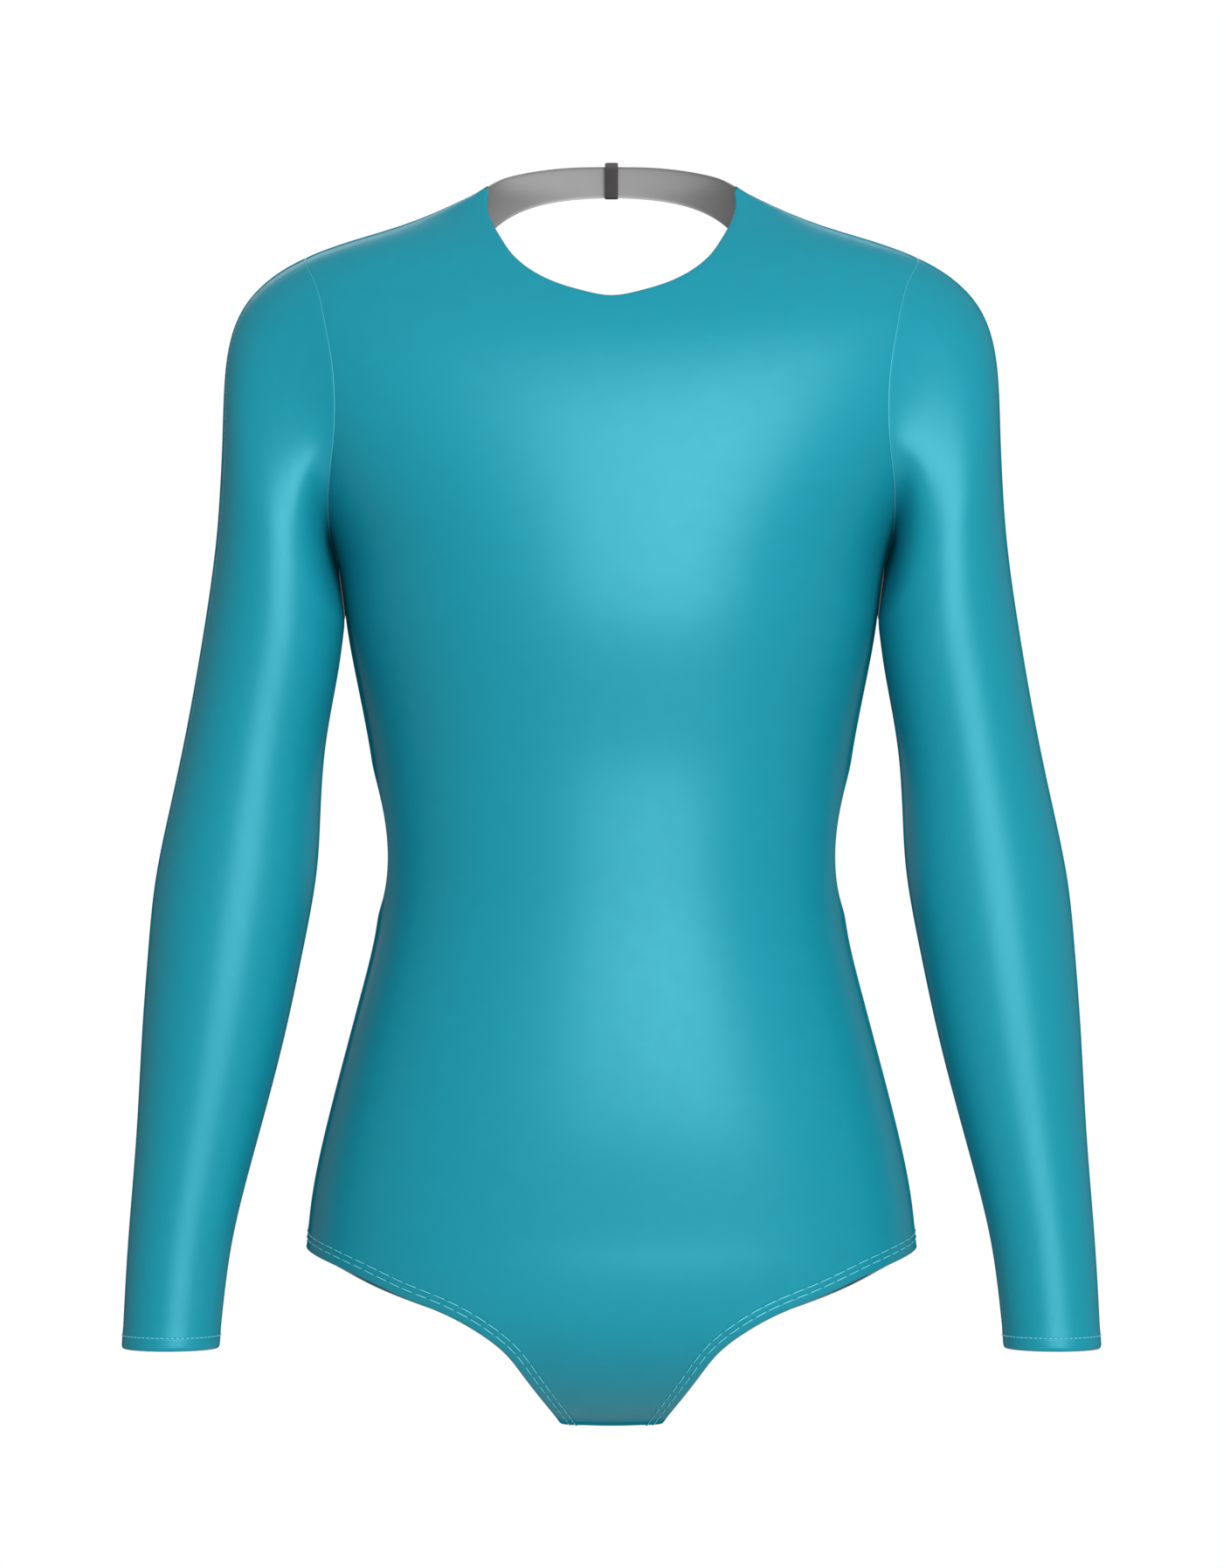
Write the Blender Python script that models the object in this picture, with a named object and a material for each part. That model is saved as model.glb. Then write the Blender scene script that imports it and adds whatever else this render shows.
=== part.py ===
"""A long-sleeved leotard with an open back, filled out as when it is worn, for Blender 4.5.

Metres, +Z up. The front faces -Y and the wearer's left is +X. The origin lies between the two
points where the neckline meets the shoulder seams, which is where the garment hangs from.

The torso is one smooth form that is read at two numbers. "Down" is metres below the origin. "Turn" is
degrees round from the side seam: 90 is the centre front, 0 the side and -90 the centre back.
Below the hips the level sections tip over, front and back, until both point straight down and meet
at the crotch seam. Each panel is a patch of this form between curves that are drawn on it, and each
sleeve runs from the same armhole curve through a cap to a row of arm rings.
"""

import math

import bpy
import numpy as np
from mathutils import Vector
from mathutils.geometry import delaunay_2d_cdt

# Driving sizes
CLOTH = 0.0015  # wall thickness
SEAM_GAP = 0.0003  # clear space between two panels at a seam
SLEEVE_GAP = 0.00044  # and between a panel and a sleeve, which leaves it at a slant
HIP_DOWN = 0.578  # where the leg openings reach the side seams
TIP_LENGTH = 0.155  # length down the front over which the sections tip from level to straight down
SHOULDER_DOWN = 0.0385  # outer end of the shoulder seam
UNDERARM_DOWN = 0.232  # lowest point of the armhole
WAIST_CUT_TOP = 0.312  # where the back opening comes round the side seam
WAIST_CUT_FOOT = 0.400  # and where it goes back again
CROTCH_HALF_WIDTH = 0.0275  # half the length of the crotch seam

# Closure at the back of the neck
TAB_WIDTH = 0.0072
TAB_WALL = 0.0010
TAB_CLEAR = 0.0006  # space between the tab and the cloth inside its fold
TAB_BEND = (25, 155)  # degrees over the edge of the neck between which the fold is round

# How finely each piece is divided. Pieces that meet share the number of rows along their seam.
NET_STEP = 0.017  # between the points inside a panel
EDGE_MARGIN = 0.009  # least distance from those points to the panel's edge
NECK_ROWS = 9
SHOULDER_ROWS = 6
ARMHOLE_ROWS = 11
SIDE_ROWS = 5
CUT_ROWS = 7
OPENING_ROWS = 30
LOWER_EDGE_ROWS = 11
HIP_ROWS = 11
LEG_ROWS = 16
CROTCH_ROWS = 2
CAP_ROWS = 9
ARM_ROWS = 20
TAB_ROWS = 5
FINE_READS = 600  # places at which a curve is read before it is divided evenly
HALVINGS = 40  # of the range in which a place on the torso is looked for
SAME_PLACE = 1e-6  # places closer than this are one

TORSO = {
    # Sections of the torso: half width at the side seam, depth to the front and to the back, and how
    # square the section is, where 2 is an ellipse.
    "columns": ("down", "half_width", "front", "back", "square"),
    "rows": (
        (-0.0160, 0.0620, 0.0000, 0.0500, 2.00),
        (-0.0080, 0.0648, 0.0010, 0.0550, 2.00),
        (0.0000, 0.0682, 0.0050, 0.0600, 2.00),
        (0.0072, 0.0806, 0.0130, 0.0650, 2.00),
        (0.0148, 0.0971, 0.0215, 0.0702, 2.00),
        (0.0224, 0.1171, 0.0298, 0.0748, 2.02),
        (0.0300, 0.1418, 0.0375, 0.0788, 2.05),
        (0.0385, 0.1650, 0.0460, 0.0826, 2.08),
        (0.0500, 0.1835, 0.0565, 0.0868, 2.10),
        (0.0650, 0.1950, 0.0690, 0.0908, 2.14),
        (0.0850, 0.1985, 0.0832, 0.0945, 2.18),
        (0.1100, 0.1940, 0.0965, 0.0968, 2.22),
        (0.1400, 0.1815, 0.1080, 0.0975, 2.26),
        (0.1700, 0.1650, 0.1155, 0.0960, 2.28),
        (0.2030, 0.1500, 0.1198, 0.0925, 2.30),
        (0.2360, 0.1449, 0.1200, 0.0876, 2.30),
        (0.2700, 0.1390, 0.1155, 0.0815, 2.28),
        (0.3120, 0.1311, 0.1083, 0.0742, 2.25),
        (0.3550, 0.1266, 0.1054, 0.0682, 2.22),
        (0.4000, 0.1276, 0.1045, 0.0672, 2.22),
        (0.4400, 0.1365, 0.1056, 0.0735, 2.24),
        (0.4800, 0.1471, 0.1064, 0.0868, 2.26),
        (0.5200, 0.1572, 0.1048, 0.1010, 2.28),
        (0.5500, 0.1632, 0.1012, 0.1095, 2.26),
        (0.5780, 0.1660, 0.0980, 0.1140, 2.22),
        (0.6200, 0.1660, 0.0985, 0.1165, 2.16),
        (0.6700, 0.1660, 0.0988, 0.1090, 2.10),
        (0.7330, 0.1660, 0.0985, 0.0985, 2.05),
    ),
}

# Curves drawn on the torso. Each row is a place as it is seen square from the front or the back: how
# far out it lies from the middle and how far it drops below the origin. A row whose "out" is the
# half width lies on the side seam or on the ridge of the shoulder.
NECKLINE_FRONT = {
    "columns": ("out", "drop"),
    "rows": (
        (0.0000, 0.0638),
        (0.0148, 0.0612),
        (0.0285, 0.0569),
        (0.0435, 0.0490),
        (0.0531, 0.0405),
        (0.0590, 0.0318),
        (0.0640, 0.0227),
        (0.0675, 0.0125),
        (0.0682, 0.0000),
    ),
}
NECKLINE_BACK = {
    "columns": ("out", "drop"),
    "rows": (
        (0.0011, -0.0153),
        (0.0200, -0.0148),
        (0.0403, -0.0122),
        (0.0588, -0.0067),
        (0.0682, 0.0000),
    ),
}
ARMHOLE = {
    # From the shoulder point down the front to the underarm.
    "columns": ("out", "drop"),
    "rows": (
        (0.1650, SHOULDER_DOWN),
        (0.1588, 0.0595),
        (0.1533, 0.0828),
        (0.1498, 0.1027),
        (0.1485, 0.1209),
        (0.1489, 0.1388),
        (0.1508, 0.1551),
        (0.1526, 0.1710),
        (0.1530, 0.1890),
        (0.1515, 0.2080),
        (0.1456, UNDERARM_DOWN),
    ),
}
ARMHOLE_BACK = {
    # From the underarm up the back, stopping short of the shoulder point.
    "columns": ("out", "drop"),
    "rows": (
        (0.1500, 0.2120),
        (0.1520, 0.1870),
        (0.1500, 0.1560),
        (0.1474, 0.1220),
        (0.1484, 0.0960),
        (0.1520, 0.0730),
        (0.1588, 0.0530),
    ),
}
OPENING_UPPER = {
    # Edge of the open back, from behind the tab out over the shoulder blade to the side.
    "columns": ("out", "drop"),
    "rows": (
        (0.0011, 0.0008),
        (0.0158, 0.0015),
        (0.0289, 0.0030),
        (0.0424, 0.0060),
        (0.0545, 0.0108),
        (0.0652, 0.0180),
        (0.0740, 0.0300),
        (0.0810, 0.0480),
        (0.0885, 0.0760),
        (0.0955, 0.1100),
        (0.1025, 0.1500),
        (0.1095, 0.1900),
        (0.1170, 0.2300),
        (0.1245, 0.2720),
        (0.1311, WAIST_CUT_TOP),
    ),
}
WAIST_CUT = {
    "columns": ("out", "drop"),
    "rows": (
        (0.1311, WAIST_CUT_TOP),
        (0.1270, 0.3290),
        (0.1232, 0.3460),
        (0.1215, 0.3660),
        (0.1234, 0.3845),
        (0.1276, WAIST_CUT_FOOT),
    ),
}
OPENING_LOWER = {
    "columns": ("out", "drop"),
    "rows": (
        (0.0000, 0.4640),
        (0.0350, 0.4605),
        (0.0700, 0.4490),
        (0.0980, 0.4310),
        (0.1170, 0.4130),
        (0.1276, WAIST_CUT_FOOT),
    ),
}
LEG_FRONT = {
    "columns": ("out", "drop"),
    "rows": (
        (0.1660, HIP_DOWN),
        (0.1489, 0.5864),
        (0.1311, 0.5936),
        (0.1116, 0.6020),
        (0.0886, 0.6109),
        (0.0717, 0.6202),
        (0.0570, 0.6319),
        (0.0480, 0.6438),
        (0.0380, 0.6582),
        (0.0307, 0.6691),
    ),
}
LEG_BACK = {
    "columns": ("out", "drop"),
    "rows": (
        (0.1660, HIP_DOWN),
        (0.1500, 0.5950),
        (0.1360, 0.6040),
        (0.1150, 0.6143),
        (0.0900, 0.6239),
        (0.0750, 0.6301),
        (0.0595, 0.6412),
        (0.0500, 0.6522),
        (0.0390, 0.6656),
        (0.0315, 0.6735),
    ),
}

SLEEVE = {
    # Rings of the arm, each from its outer point to its inner point as seen from the front, then
    # the place of its middle and its half depth from front to back.
    "columns": ("outer_x", "outer_z", "inner_x", "inner_z", "middle_y", "half_depth"),
    "rows": (
        (0.2116, -0.1573, 0.1450, -0.2430, -0.0280, 0.0430),
        (0.2144, -0.1975, 0.1476, -0.2630, -0.0300, 0.0425),
        (0.2213, -0.2466, 0.1516, -0.2853, -0.0300, 0.0420),
        (0.2299, -0.2952, 0.1557, -0.3121, -0.0290, 0.0422),
        (0.2387, -0.3369, 0.1578, -0.3439, -0.0280, 0.0432),
        (0.2469, -0.3774, 0.1602, -0.3774, -0.0280, 0.0438),
        (0.2510, -0.4173, 0.1675, -0.4183, -0.0300, 0.0425),
        (0.2540, -0.4618, 0.1769, -0.4628, -0.0340, 0.0385),
        (0.2563, -0.5082, 0.1887, -0.5091, -0.0380, 0.0340),
        (0.2592, -0.5505, 0.1998, -0.5510, -0.0420, 0.0300),
        (0.2617, -0.5869, 0.2069, -0.5869, -0.0450, 0.0275),
        (0.2638, -0.6306, 0.2117, -0.6306, -0.0480, 0.0258),
    ),
}

# Cap of the sleeve
HANDLE_TOP = (0.44, 0.48)  # reach of the curve's two handles over the shoulder, as shares of its span
HANDLE_UNDER = (0.34, 0.34)  # and under the arm
UNDERARM_LEAD = (0.80, 0.0, -0.60)  # way the sleeve leaves the armhole at its lowest point
CREASE_SPREAD = 0.36  # share of the armhole, round the underarm, over which it bends to that way

# Colours of the materials, and what both have in common
COLOURS = {"stretch_knit": (0.016, 0.323, 0.402, 1.0), "neck_tab": (0.090, 0.086, 0.088, 1.0)}
ROUGHNESS = 0.38
SHARP_ANGLE = 50  # degrees between faces from which their edge is shaded sharp


def smooth_curve(stops, values, at):
    """Natural cubic spline through the values at the stops, read at one place or at many."""
    stops, values, at = (np.asarray(v, float) for v in (stops, values, at))
    gaps = np.diff(stops)
    rises = np.diff(values) / gaps
    count = len(stops)
    matrix = np.eye(count)
    right = np.zeros(count)
    for i in range(1, count - 1):
        matrix[i, i - 1 : i + 2] = gaps[i - 1], 2 * (gaps[i - 1] + gaps[i]), gaps[i]
        right[i] = 6 * (rises[i] - rises[i - 1])
    bends = np.linalg.solve(matrix, right)
    i = np.clip(np.searchsorted(stops, at) - 1, 0, count - 2)
    before, after, gap = stops[i + 1] - at, at - stops[i], gaps[i]
    curved = (bends[i] * before**3 + bends[i + 1] * after**3) / (6 * gap)
    level = (values[i] / gap - bends[i] * gap / 6) * before
    return curved + level + (values[i + 1] / gap - bends[i + 1] * gap / 6) * after


def column(table, name):
    return np.array([row[table["columns"].index(name)] for row in table["rows"]])


def torso_size(name, down):
    return smooth_curve(column(TORSO, "down"), column(TORSO, name), down)


def torso(turn, down):
    """Points of the torso's outer side, on the wearer's left."""
    turn, down = np.asarray(turn, float), np.asarray(down, float)
    angle = np.radians(np.abs(turn))
    across, deep = np.cos(angle), np.sin(angle)
    square = torso_size("square", down)
    round_off = (np.abs(across) ** square + deep**square) ** (-1 / square)
    depth = np.where(turn >= 0, torso_size("front", down), torso_size("back", down))
    reach = depth * deep * round_off
    tip = np.radians(90) * np.clip((down - HIP_DOWN) / TIP_LENGTH, 0, 1)
    x = torso_size("half_width", down) * across * round_off
    y = np.where(turn >= 0, -1, 1) * reach * np.cos(tip)
    z = -np.minimum(down, HIP_DOWN) - reach * np.sin(tip)
    return np.stack([x, y, z], axis=-1)


def place_on_torso(points):
    """Turn and down of points that lie on the torso, or close to it."""
    x, y, z = points[..., 0], points[..., 1], points[..., 2]
    drop = np.maximum(-z - HIP_DOWN, 0)
    tip = np.degrees(np.arctan2(drop, np.abs(y)))
    down = np.where(drop > 0, HIP_DOWN + TIP_LENGTH * tip / 90, -z)
    depth = np.where(y <= 0, torso_size("front", down), torso_size("back", down))
    reach = np.hypot(y, drop) / depth
    turn = np.degrees(np.arctan2(reach, x / torso_size("half_width", down)))
    return np.stack([np.where(y <= 0, turn, -turn), down], axis=-1)


def unit(vectors):
    return vectors / np.linalg.norm(vectors, axis=-1, keepdims=True)


def torso_normal(turn, down):
    """Way out of the torso, from two short steps over its surface."""
    step_turn, step_down = 0.05, 0.00005
    towards_front = torso(turn + step_turn, down) - torso(turn - step_turn, down)
    downwards = torso(turn, down + step_down) - torso(turn, down - step_down)
    return unit(np.cross(towards_front, downwards))


def lengths_along(points):
    steps = np.linalg.norm(np.diff(points, axis=0), axis=1)
    return np.concatenate([[0], np.cumsum(steps)])


def drawn_on_torso(table, front):
    """Turn and down of the table's rows on the front or the back of the torso."""
    out, drop = column(table, "out"), column(table, "drop")

    def reach(down):
        share = np.clip(out / torso_size("half_width", down), 0, 1)
        square = torso_size("square", down)
        deep = (1 - share**square) ** (1 / square)
        return share, deep, deep * torso_size("front" if front else "back", down)

    # Below the hips the section that passes through the place is found by halving.
    low, high = np.minimum(drop, HIP_DOWN), np.where(drop > HIP_DOWN, HIP_DOWN + TIP_LENGTH, drop)
    for _ in range(HALVINGS):
        middle = (low + high) / 2
        tip = np.radians(90) * np.clip((middle - HIP_DOWN) / TIP_LENGTH, 0, 1)
        above = np.minimum(middle, HIP_DOWN) + reach(middle)[2] * np.sin(tip) < drop
        low, high = np.where(above, middle, low), np.where(above, high, middle)
    down = (low + high) / 2
    share, deep, _ = reach(down)
    turn = np.degrees(np.arctan2(deep, share))
    return np.stack([turn if front else -turn, down], axis=-1)


def crotch_end(front):
    """Turn and down of the outer end of the crotch seam."""
    down = HIP_DOWN + TIP_LENGTH
    share = CROTCH_HALF_WIDTH / torso_size("half_width", down)
    square = torso_size("square", down)
    turn = np.degrees(np.arctan2((1 - share**square) ** (1 / square), share))
    return np.array([[turn if front else -turn, down]])


def curve_through(rows, shares, closed=False):
    """Turn and down at shares of the length of a smooth curve through the rows. Its ends are exactly
    the first and last row."""
    lap = 3  # rows repeated so that a closed curve, or one from the centre line, joins itself smoothly
    ends = rows[0], rows[-1]
    from_centre = abs(abs(rows[0, 0]) - 90) < SAME_PLACE
    if closed:
        rows = np.concatenate([rows[-lap:], rows, rows[: lap + 1]])
    elif from_centre:
        rows = np.concatenate([(2 * rows[0, 0], 0) + rows[lap:0:-1] * (-1, 1), rows])
    corners = torso(rows[:, 0], rows[:, 1])
    stops = lengths_along(corners)
    first = stops[lap if closed or from_centre else 0]
    last = stops[-lap - 1 if closed else -1]
    fine = np.linspace(first, last, FINE_READS)
    line = np.stack([smooth_curve(stops, corners[:, i], fine) for i in range(3)], axis=-1)
    run = lengths_along(line)
    spots = [np.interp(np.asarray(shares, float) * run[-1], run, line[:, i]) for i in range(3)]
    curve = place_on_torso(np.stack(spots, axis=-1))
    if not closed:
        curve[0], curve[-1] = ends
    return curve


def steps(count, begin=0.0, end=1.0):
    return np.linspace(begin, end, count + 1)


def armhole(count):
    """Turn and down of the armhole's front and back halves, each from the shoulder to the underarm."""
    loop = np.concatenate([drawn_on_torso(ARMHOLE, True), drawn_on_torso(ARMHOLE_BACK, False)])
    fine = steps(FINE_READS)
    lowest = fine[np.argmax(curve_through(loop, fine, closed=True)[:, 1])]
    halves = [curve_through(loop, steps(count, end, lowest), closed=True) for end in (0, 1)]
    for half in halves:
        half[0], half[-1] = (0.0, SHOULDER_DOWN), (0.0, UNDERARM_DOWN)
    return halves


def joined(*curves):
    """Curves end to end, without the point that each shares with the one before."""
    return np.concatenate([curves[0]] + [curve[1:] for curve in curves[1:]])


def straight(first, last, count):
    return np.linspace(first, last, count + 1)


def flat_length(down):
    """Length along the panel from a level above every panel to the places that far down."""
    halfway_round = 45.0
    levels = np.linspace(column(TORSO, "down")[0], column(TORSO, "down")[-1], FINE_READS)
    return np.interp(down, levels, lengths_along(torso(np.full(len(levels), halfway_round), levels)))


def laid_flat(places):
    """Places on the torso laid out on a plane, nearly true to size: round from the side seam, and down."""
    turn, down = places[..., 0], places[..., 1]
    depth = np.where(turn >= 0, torso_size("front", down), torso_size("back", down))
    quarter = math.pi / 4 * (torso_size("half_width", down) + depth)
    return np.stack([np.abs(turn) / 90 * quarter, -flat_length(down)], axis=-1)


def inside(spots, outline):
    """Which spots on the plane lie inside the outline, and further from it than EDGE_MARGIN."""
    first, second = outline, np.roll(outline, -1, axis=0)
    across = second - first
    offset = spots[:, None] - first[None]
    share = np.clip((offset * across).sum(-1) / (across**2).sum(-1), 0, 1)
    clear = np.linalg.norm(offset - share[..., None] * across, axis=-1).min(axis=1) > EDGE_MARGIN
    above = (first[:, 1] > spots[:, 1:2]) != (second[:, 1] > spots[:, 1:2])
    slope = across[:, 0] / np.where(across[:, 1] == 0, 1, across[:, 1])
    passed = spots[:, :1] < first[:, 0] + (spots[:, 1:2] - first[:, 1]) * slope
    return clear & ((above & passed).sum(axis=1) % 2 == 1)


def panel_net(outline):
    """Places and triangles of a piece of the torso inside an outline of places, which come first."""
    side = 1 if outline[:, 0].max() > 1 else -1
    low, high = outline[:, 1].min(), outline[:, 1].max()
    lattice = []
    levels = np.arange(flat_length(low), flat_length(high), NET_STEP * math.sqrt(3) / 2)
    downs = np.linspace(low, high, FINE_READS)
    for i, down in enumerate(np.interp(levels, flat_length(downs), downs)):
        round_quarter = laid_flat(np.array([side * 90.0, down]))[0]
        rounds = (np.arange(0, round_quarter, NET_STEP) + NET_STEP / 2 * (i % 2)) / round_quarter
        lattice += [(side * 90 * (1 - share), down) for share in rounds if share < 1]
    lattice = np.array(lattice)
    lattice = lattice[inside(laid_flat(lattice), laid_flat(outline))]
    places = np.concatenate([outline, lattice])
    count = len(outline)
    edges = [(i, (i + 1) % count) for i in range(count)]
    flat = [Vector(spot) for spot in laid_flat(places)]
    net = delaunay_2d_cdt(flat, edges, [], 1, SAME_PLACE)
    was = [came_from[0] for came_from in net[3]]
    return places, [[was[k] for k in face] for face in net[2]]


def panel_walls(places, front):
    """Outer and inner points of the cloth. Both stay on their own side of the seams at Y 0."""
    turn, down = places[..., 0], places[..., 1]
    outer = torso(turn, down)
    inner = outer - CLOTH * torso_normal(turn, down)
    for points in (outer, inner):
        if front:
            points[..., 1] = np.minimum(points[..., 1], -SEAM_GAP / 2)
        else:
            points[..., 1] = np.maximum(points[..., 1], SEAM_GAP / 2)
    return outer, inner


def open_edges(faces):
    """Edges that only one face has, in that face's direction."""
    edges = [(face[i], face[(i + 1) % len(face)]) for face in faces for i in range(len(face))]
    known = set(edges)
    return [(a, b) for a, b in edges if (b, a) not in known]


def wall_faces(faces, count):
    """Faces of a closed wall: the outer side, the inner side count points later, and the rims."""
    back = [[corner + count for corner in reversed(face)] for face in faces]
    rims = [[b, a, a + count, b + count] for a, b in open_edges(faces)]
    return faces + back + rims


def facing_out(points, faces, normals):
    """The faces, turned so that they face along the normals of their points."""
    first, second, third = (points[[face[k] for face in faces]] for k in range(3))
    across = np.cross(second - first, third - first)
    wrong = (across * normals[[face[0] for face in faces]]).sum(-1) < 0
    return [face[::-1] if turned else face for face, turned in zip(faces, wrong)]


def add_panel(name, outline, front, sides):
    """A panel that fills an outline on the torso. Its sides are 1 for the wearer's left and -1 for the
    right. A panel with both is joined along its centre line."""
    places, triangles = panel_net(outline)
    outer, inner = panel_walls(places, front)
    triangles = facing_out(outer, triangles, torso_normal(places[:, 0], places[:, 1]))
    centre = {i: i for i in range(len(places)) if abs(abs(places[i, 0]) - 90) < SAME_PLACE}
    half = len(places)
    if len(sides) == 2:
        others = [i for i in range(half) if i not in centre]
        twin = centre | {i: half + k for k, i in enumerate(others)}
        faces = triangles + [[twin[i] for i in reversed(face)] for face in triangles]
        outer = np.concatenate([outer, outer[others] * (-1, 1, 1)])
        inner = np.concatenate([inner, inner[others] * (-1, 1, 1)])
        for points in (outer, inner):
            points[list(centre), 0] = 0
    else:
        faces = triangles if sides[0] == 1 else [face[::-1] for face in triangles]
        outer, inner = outer * (sides[0], 1, 1), inner * (sides[0], 1, 1)
    add_object(name, np.concatenate([outer, inner]), wall_faces(faces, len(outer)), "stretch_knit")


def add_grid_wall(name, outer, inner, material, tube=False, flip=False):
    """A closed wall between two grids of points. A tube's last column joins its first."""
    rows, columns = outer.shape[:2]
    faces = []
    for i in range(rows - 1):
        for j in range(columns if tube else columns - 1):
            k = (j + 1) % columns
            faces.append([i * columns + j, i * columns + k, (i + 1) * columns + k, (i + 1) * columns + j])
    if flip:
        faces = [face[::-1] for face in faces]
    points = np.concatenate([outer.reshape(-1, 3), inner.reshape(-1, 3)])
    add_object(name, points, wall_faces(faces, rows * columns), material)


def add_object(name, points, faces, material):
    mesh = bpy.data.meshes.new(name)
    mesh.from_pydata([tuple(map(float, point)) for point in points], [], faces)
    mesh.shade_smooth()
    mesh.set_sharp_from_angle(angle=math.radians(SHARP_ANGLE))
    mesh.materials.append(cloth_material(material))
    obj = bpy.data.objects.new(name, mesh)
    bpy.context.scene.collection.objects.link(obj)


def cloth_material(name):
    material = bpy.data.materials.get(name) or bpy.data.materials.new(name)
    material.use_nodes = True
    shader = material.node_tree.nodes["Principled BSDF"]
    shader.inputs["Base Color"].default_value = COLOURS[name]
    shader.inputs["Roughness"].default_value = ROUGHNESS
    shader.inputs["Metallic"].default_value = 0.0
    return material


def leg_line(leg_table, front):
    """Turn and down of the leg opening, from the hip to the end of the crotch seam."""
    rows = np.concatenate([drawn_on_torso(leg_table, front), crotch_end(front)])
    return curve_through(rows, steps(LEG_ROWS))


def hip_seam():
    return straight((0.0, WAIST_CUT_FOOT), (0.0, HIP_DOWN), HIP_ROWS)


def centre_line(first, last):
    """Places up the centre line, at even lengths."""
    lengths = flat_length(np.array([first[1], last[1]]))
    downs = np.linspace(first[1], last[1], FINE_READS)
    even = np.linspace(*lengths, round((lengths[1] - lengths[0]) / NET_STEP) + 1)
    down = np.interp(even, flat_length(downs), downs)
    down[0], down[-1] = first[1], last[1]
    return np.stack([np.full(len(down), first[0]), down], axis=-1)[::-1]


def add_front():
    neck = curve_through(drawn_on_torso(NECKLINE_FRONT, True), steps(NECK_ROWS))
    leg = leg_line(LEG_FRONT, True)
    crotch = straight(leg[-1], (90.0, leg[-1, 1]), CROTCH_ROWS)
    outline = joined(
        neck,
        straight((0.0, 0.0), (0.0, SHOULDER_DOWN), SHOULDER_ROWS),
        armhole(ARMHOLE_ROWS)[0],
        straight((0.0, UNDERARM_DOWN), (0.0, WAIST_CUT_TOP), SIDE_ROWS),
        curve_through(drawn_on_torso(WAIST_CUT, True), steps(CUT_ROWS)),
        hip_seam(),
        leg,
        crotch,
        centre_line(neck[0], crotch[-1]),
    )
    add_panel("front", outline[:-1], True, (1, -1))


def add_seat():
    top = curve_through(drawn_on_torso(OPENING_LOWER, False), steps(LOWER_EDGE_ROWS))
    leg = leg_line(LEG_BACK, False)
    crotch = straight(leg[-1], (-90.0, leg[-1, 1]), CROTCH_ROWS)
    outline = joined(top, hip_seam(), leg, crotch, centre_line(top[0], crotch[-1]))
    add_panel("seat", outline[:-1], False, (1, -1))


def add_back_halves():
    neck = curve_through(drawn_on_torso(NECKLINE_BACK, False), steps(NECK_ROWS))
    opening = curve_through(drawn_on_torso(OPENING_UPPER, False), steps(OPENING_ROWS))
    outline = joined(
        neck,
        straight((0.0, 0.0), (0.0, SHOULDER_DOWN), SHOULDER_ROWS),
        armhole(ARMHOLE_ROWS)[1],
        straight((0.0, UNDERARM_DOWN), (0.0, WAIST_CUT_TOP), SIDE_ROWS),
        opening[::-1],
    )
    add_panel("back_left", outline, False, (1,))
    add_panel("back_right", outline, False, (-1,))


def arm_point(place, around):
    """Points of the sleeve's arm. Place counts the rings, from 1, and around is 0 at the outer side,
    90 at the front and 180 at the inner side."""
    count = len(SLEEVE["rows"])
    ring = {
        name: smooth_curve(np.arange(1, count + 1), column(SLEEVE, name), place)
        for name in SLEEVE["columns"]
    }
    angle = np.radians(around)
    x = (ring["outer_x"] + ring["inner_x"]) / 2 + (ring["outer_x"] - ring["inner_x"]) / 2 * np.cos(angle)
    z = (ring["outer_z"] + ring["inner_z"]) / 2 + (ring["outer_z"] - ring["inner_z"]) / 2 * np.cos(angle)
    y = ring["middle_y"] - ring["half_depth"] * np.sin(angle)
    return np.stack([x, y, z], axis=-1)


def sleeve_start():
    """The armhole's points all round, from the shoulder down the front and up the back, and the way in
    which the sleeve's cloth leaves each of them."""
    front, back = armhole(ARMHOLE_ROWS)
    loop = np.concatenate([front, back[-2:0:-1]])
    points = torso(loop[:, 0], loop[:, 1])
    along = np.roll(points, -1, axis=0) - np.roll(points, 1, axis=0)
    # Cloth that runs on smoothly from the torso, square to the seam.
    smooth_lead = unit(np.cross(torso_normal(loop[:, 0], loop[:, 1]), along))
    nearness = 1 - np.abs(np.arange(len(loop)) / len(loop) - 0.5) / CREASE_SPREAD
    nearness = np.clip(nearness, 0, 1)[:, None]
    crease = nearness**2 * (3 - 2 * nearness)
    lead = unit(smooth_lead * (1 - crease) + np.array(UNDERARM_LEAD) * crease)
    return points + SLEEVE_GAP * lead, lead


def sleeve_outer():
    """Points of the sleeve's outer side: rows down the cap and the arm, columns round it."""
    start, lead = sleeve_start()
    count = len(start)
    around = np.arange(count) * 360 / count
    first_ring, short_way = 1.0, 0.05
    finish = arm_point(first_ring, around)
    arrival = unit(arm_point(first_ring + short_way, around) - finish)
    span = np.linalg.norm(finish - start, axis=1, keepdims=True)
    topness = ((1 + np.cos(np.radians(around))) / 2)[:, None]
    first = start + lead * span * (HANDLE_UNDER[0] + (HANDLE_TOP[0] - HANDLE_UNDER[0]) * topness)
    second = finish - arrival * span * (HANDLE_UNDER[1] + (HANDLE_TOP[1] - HANDLE_UNDER[1]) * topness)
    rows = []
    for t in steps(CAP_ROWS)[:-1]:
        s = 1 - t
        rows.append(s**3 * start + 3 * s**2 * t * first + 3 * s * t**2 * second + t**3 * finish)
    for place in steps(ARM_ROWS, first_ring, len(SLEEVE["rows"])):
        rows.append(arm_point(place, around))
    return np.array(rows)


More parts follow.
